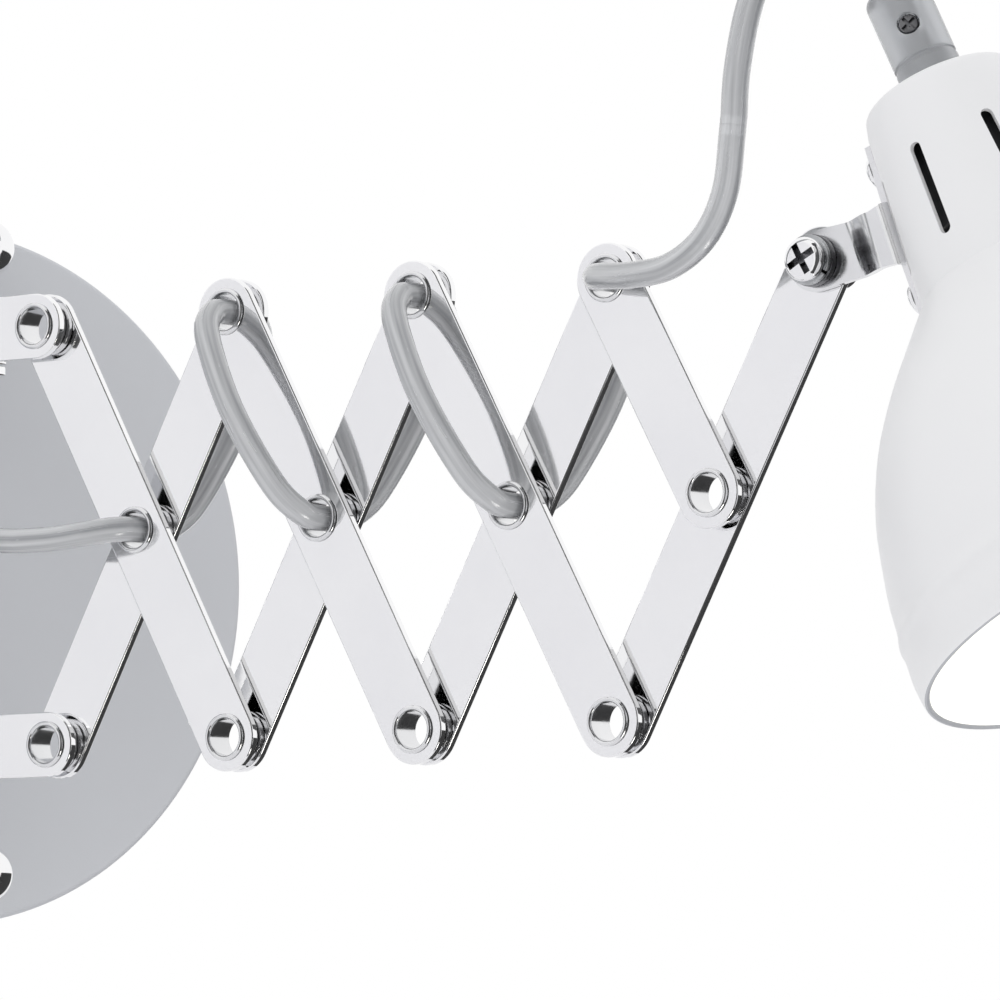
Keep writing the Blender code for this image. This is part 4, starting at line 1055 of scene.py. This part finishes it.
def make_head_bracket():
    side = neck_side()
    head_pin = ARM @ pivot("T4")
    ear = (SHADE @ side).inverted() @ head_pin
    ear_y = EAR_MIDDLE - NECK_TOP[2]
    half = HEAD_SHEET / 2
    base_x = -GAP - half
    bend_y = 5 * MM - half
    bend_radius = 2.2 * MM
    bend = circle(bend_radius, 12, (base_x - bend_radius, bend_y - bend_radius), 0, pi / 2)
    set_back = []
    for step in range(STRAP_STEPS + 1):
        t = step / STRAP_STEPS
        ease = t * t * (3 - 2 * t)
        set_back.append((STRAP_START + (STRAP_END - STRAP_START) * t, bend_y + (ear_y - bend_y) * ease))
    line = [(base_x, -5 * MM), *bend, *set_back, (ear.x - EAR_RADIUS - 1 * MM, ear_y)]
    shape = strip(line, HEAD_SHEET, BASE_ENDS[0] - BASE_MIDDLE, BASE_ENDS[1] - BASE_MIDDLE)
    place = SHADE @ side
    made = mesh_object("neck_bracket", shape, place)
    top = BASE_ENDS[0] - BASE_MIDDLE - BASE_MARGIN
    bottom = BASE_ENDS[1] - BASE_MIDDLE + BASE_MARGIN
    beside = []
    for low, high in ((top, -0.9 * MM), (12.6 * MM, bottom)):
        for y in (-TAB_HALF_WIDTH - 2 * MM, TAB_HALF_WIDTH + 2 * MM):
            beside.append(box((6 * MM, 4 * MM, high - low), (-1 * MM, y, (low + high) / 2)))
    outline = [
        *circle(EAR_RADIUS, 32, (ear.x, ear.z), pi * 0.555, pi),
        (-12 * MM, -1.9 * MM),
        (-5 * MM, -0.4 * MM),
        (-2.2 * MM, -0.7 * MM),
        (-1.9 * MM, top),
        (4 * MM, top),
        (4 * MM, bottom),
        (-1.9 * MM, bottom),
        (-2.2 * MM, 12.4 * MM),
        (-5 * MM, 11.8 * MM),
        (-12 * MM, 10.2 * MM),
    ]
    trim = moved(sheet(outline, [], -12 * MM, 12 * MM), Matrix.Rotation(pi / 2, 4, "X"))
    carve(made, "INTERSECT", trim, place)
    carve(made, "DIFFERENCE", joined(beside), place)
    pin_hole = Matrix.Translation(ear) @ Matrix.Rotation(pi / 2, 4, "X")
    carve(made, "DIFFERENCE", moved(rod(PIN_HOLE_RADIUS, -8 * MM, 8 * MM, 40), pin_hole), place)
    finish_piece(made, "nickel", "head", replaced=("head_bracket",), slot="chrome", edge=0.25 * MM)


def make_bracket_screws():
    side = neck_side()
    seat = 2 * GAP + HEAD_SHEET
    for name, along in zip(("upper", "lower"), BRACKET_SCREW_PLACES):
        dome = []
        for step in range(9):
            angle = pi / 2 * step / 8
            dome.append((DOME_RADIUS * cos(angle), seat + 0.3 * MM + 1.9 * MM * sin(angle)))
        profile = [(0, -4 * MM), (1.5 * MM, -4 * MM), (1.5 * MM, seat), (DOME_RADIUS, seat), *dome[:-1]]
        profile.append((0, seat + 2.2 * MM))
        outward = Matrix.Translation((0, 0, along - BASE_MIDDLE)) @ Matrix.Rotation(-pi / 2, 4, "Y")
        piece(f"{name}_dome_screw", turned(profile, 48), SHADE @ side @ outward, "chrome", "head",
              replaced=(f"{name}_bracket_screw",), slot="steel")


def make_tilt_stack():
    place = ARM @ Matrix.Translation(pivot("T4"))
    ear_front = EAR_MIDDLE + HEAD_SHEET / 2
    bore = SCREW_RADIUS + GAP
    low = ear_front + RUNNING_GAP
    washer = ring(bore, WASHER_RADIUS, low, low + FRONT_WASHER_SHEET)
    piece("large_washer", turned(rounded(washer, 0.25 * MM), 64), place, "dark", "head",
          replaced=("front_washer",), slot="steel")
    low += FRONT_WASHER_SHEET + RUNNING_GAP
    spring = ring(bore, SPRING_WASHER_RADIUS, low, low + SPRING_WASHER_SHEET)
    split = mesh_object("split_washer", turned(rounded(spring, 0.15 * MM), 64), place)
    cut = box((4 * MM, 0.7 * MM, 4 * MM), (4 * MM, 0, low + SPRING_WASHER_SHEET / 2))
    carve(split, "DIFFERENCE", moved(cut, Matrix.Rotation(-0.6, 4, "Z")), place)
    finish_piece(split, "steel", "head", replaced=("spring_washer",), slot="steel")
    seat = low + SPRING_WASHER_SHEET + RUNNING_GAP
    bar_back = -LAYER_PITCH - SHEET / 2
    high = bar_back - RUNNING_GAP
    rear = ring(bore, WASHER_RADIUS, high - REAR_WASHER_SHEET, high)
    piece("back_washer", turned(rounded(rear, 0.25 * MM), 64), place, "steel", "head",
          replaced=("rear_washer",), slot="steel")
    nut_high = high - REAR_WASHER_SHEET - RUNNING_GAP
    nut_low = nut_high - TILT_NUT
    nut = ring(bore, WASHER_RADIUS, nut_low, nut_high)
    piece("round_nut", turned(rounded(nut, 0.8 * MM, 6), 64), place, "chrome", "head",
          replaced=("tilt_nut",), slot="chrome")
    head = SCREW_HEAD_HEIGHT
    radius = SCREW_HEAD_RADIUS
    shoulder = 1.5 * MM
    crown = []
    for step in range(9):
        angle = pi / 2 * step / 8
        height = seat + head - shoulder + 1.3 * MM * sin(angle)
        crown.append((radius - shoulder + shoulder * cos(angle), height))
    profile = [
        (0, nut_low + 1 * MM),
        (SCREW_RADIUS, nut_low + 1 * MM),
        (SCREW_RADIUS, seat),
        (radius - 0.2 * MM, seat),
        (radius, seat + 0.2 * MM),
        *crown,
        (0, seat + head),
    ]
    screw = mesh_object("cross_screw", turned(profile, 64), place)
    for turn in (0.5, 0.5 + pi / 2):
        blade = box((6.8 * MM, 1.5 * MM, 3.6 * MM), (0, 0, seat + head))
        carve(screw, "DIFFERENCE", moved(blade, Matrix.Rotation(turn, 4, "Z")), place)
    centre = turned([(0, seat + 0.6 * MM), (1.5 * MM, seat + head + 1 * MM), (0, seat + head + 1 * MM)], 24)
    carve(screw, "DIFFERENCE", centre, place)
    finish_piece(screw, ("chrome", "dark"), "head", replaced=("tilt_screw",), slot="chrome")
    # The faces in the cross recess take the dark steel: painted shade in the recess.
    local = place.inverted()
    for face in screw.data.polygons:
        spot = local @ face.center
        inside = spot.xy.length < 3.5 * MM and seat + 0.3 * MM < spot.z < seat + head - 0.3 * MM
        face.material_index = int(inside)


# ---------------------------------------------------------------- lampholder and cord grip


def make_lampholder():
    radius = 13.5
    outer = [(0, 4.5), (9.6, 4.5), (10.4, 4.9), (12.2, 8.5), (13.2, 20), (13.4, 26)]
    for step in range(6):
        start = 28 + step * 3.6
        outer += [(radius, start), (radius, start + 2.2)]
        outer += [(radius - 0.5, start + 2.6), (radius - 0.5, start + 3.3)]
    outer += [(radius, 50.4), (radius - 0.6, 51.6), (radius - 1.4, 52), (8.4, 52), (7.5, 51.2)]
    thread = []
    for step in range(7):
        start = 49.5 - step * 3.2
        thread += [(7.2, start), (6.75, start - 0.9), (6.75, start - 1.4), (7.2, start - 2.3)]
    profile = [(r * MM, s * MM) for r, s in (*outer, *thread, (7.2, 25), (0, 25))]
    piece("lamp_socket", turned(profile, 64), SHADE, "holder", "head", replaced=("lampholder",),
          slot="lampholder")


def make_cord_grip():
    bore = CABLE_DIAMETER / 2 + 0.15 * MM
    wall = GRIP_RADIUS
    top = -GAP - GRIP_HEIGHT
    shoulder = circle(2.2 * MM, 8, (wall - 2.2 * MM, top + 2.2 * MM), 0, -pi / 2)
    profile = [
        (5.1 * MM, -GAP),
        (wall - 0.3 * MM, -GAP),
        (wall, -0.6 * MM),
        (wall, -6.2 * MM),
        (wall - 0.35 * MM, -6.5 * MM),
        (wall - 0.35 * MM, -7.1 * MM),
        (wall, -7.4 * MM),
        *shoulder,
        (bore + 0.3 * MM, top),
        (bore, top + 0.3 * MM),
        (bore, -8.3 * MM),
        (5.1 * MM, -8.3 * MM),
    ]
    grip = mesh_object("clear_cord_grip", turned(profile, 64), SHADE)
    around = Matrix.Rotation(GRIP_SCREW_TURN, 4, "Z")
    across = Matrix.Translation((0, 0, -GRIP_SCREW_HEIGHT)) @ around @ Matrix.Rotation(pi / 2, 4, "Y")
    carve(grip, "DIFFERENCE", rod(2.4 * MM, 0, 2 * wall, 32), SHADE @ across)
    finish_piece(grip, "clear", "head", replaced=("cord_grip",), slot="clear")
    face = wall - 0.5 * MM
    screw = mesh_object("clamp_screw", round_rod(2.1 * MM, 3.4 * MM, face, 0.3 * MM), SHADE @ across)
    for turn in (0.4, 0.4 + pi / 2):
        blade = box((3.4 * MM, 0.7 * MM, 1.6 * MM), (0, 0, face))
        carve(screw, "DIFFERENCE", moved(blade, Matrix.Rotation(turn, 4, "Z")), SHADE @ across)
    finish_piece(screw, "dark", "head", replaced=("grip_screw",), slot="steel")
    thread = []
    for step in range(16):
        low = -7.9 * MM + step * 0.75 * MM
        thread += [(4.45 * MM, low), (4.9 * MM, low + 0.37 * MM)]
    profile = [(3.5 * MM, -8 * MM), *thread, (4.45 * MM, 4.1 * MM), (3.5 * MM, 4.1 * MM)]
    piece("nipple", turned(profile, 48), SHADE, "steel", "head",
          replaced=("threaded_nipple",), slot="steel")


# ---------------------------------------------------------------- carried-over nodes

CARRIED = {
    "wall_strap": "steel",
    "rim_screw_left": "steel",
    "rim_screw_right": "steel",
    "terminal_block": "nylon",
    "upper_post_nut": "steel",
    "lower_post_nut": "steel",
    "nipple_nut": "steel",
}


def finish_carried_nodes():
    for name, look in CARRIED.items():
        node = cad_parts[name]
        node.data.materials.clear()
        node.data.materials.append(LOOKS[look])


make_camera()
make_cables()
make_plate()
make_rod_and_balls()
make_grommet()
make_bars()
make_eyelets()
make_brackets()
make_shade()
make_head_bracket()
make_bracket_screws()
make_tilt_stack()
make_lampholder()
make_cord_grip()
finish_carried_nodes()
make_studio()
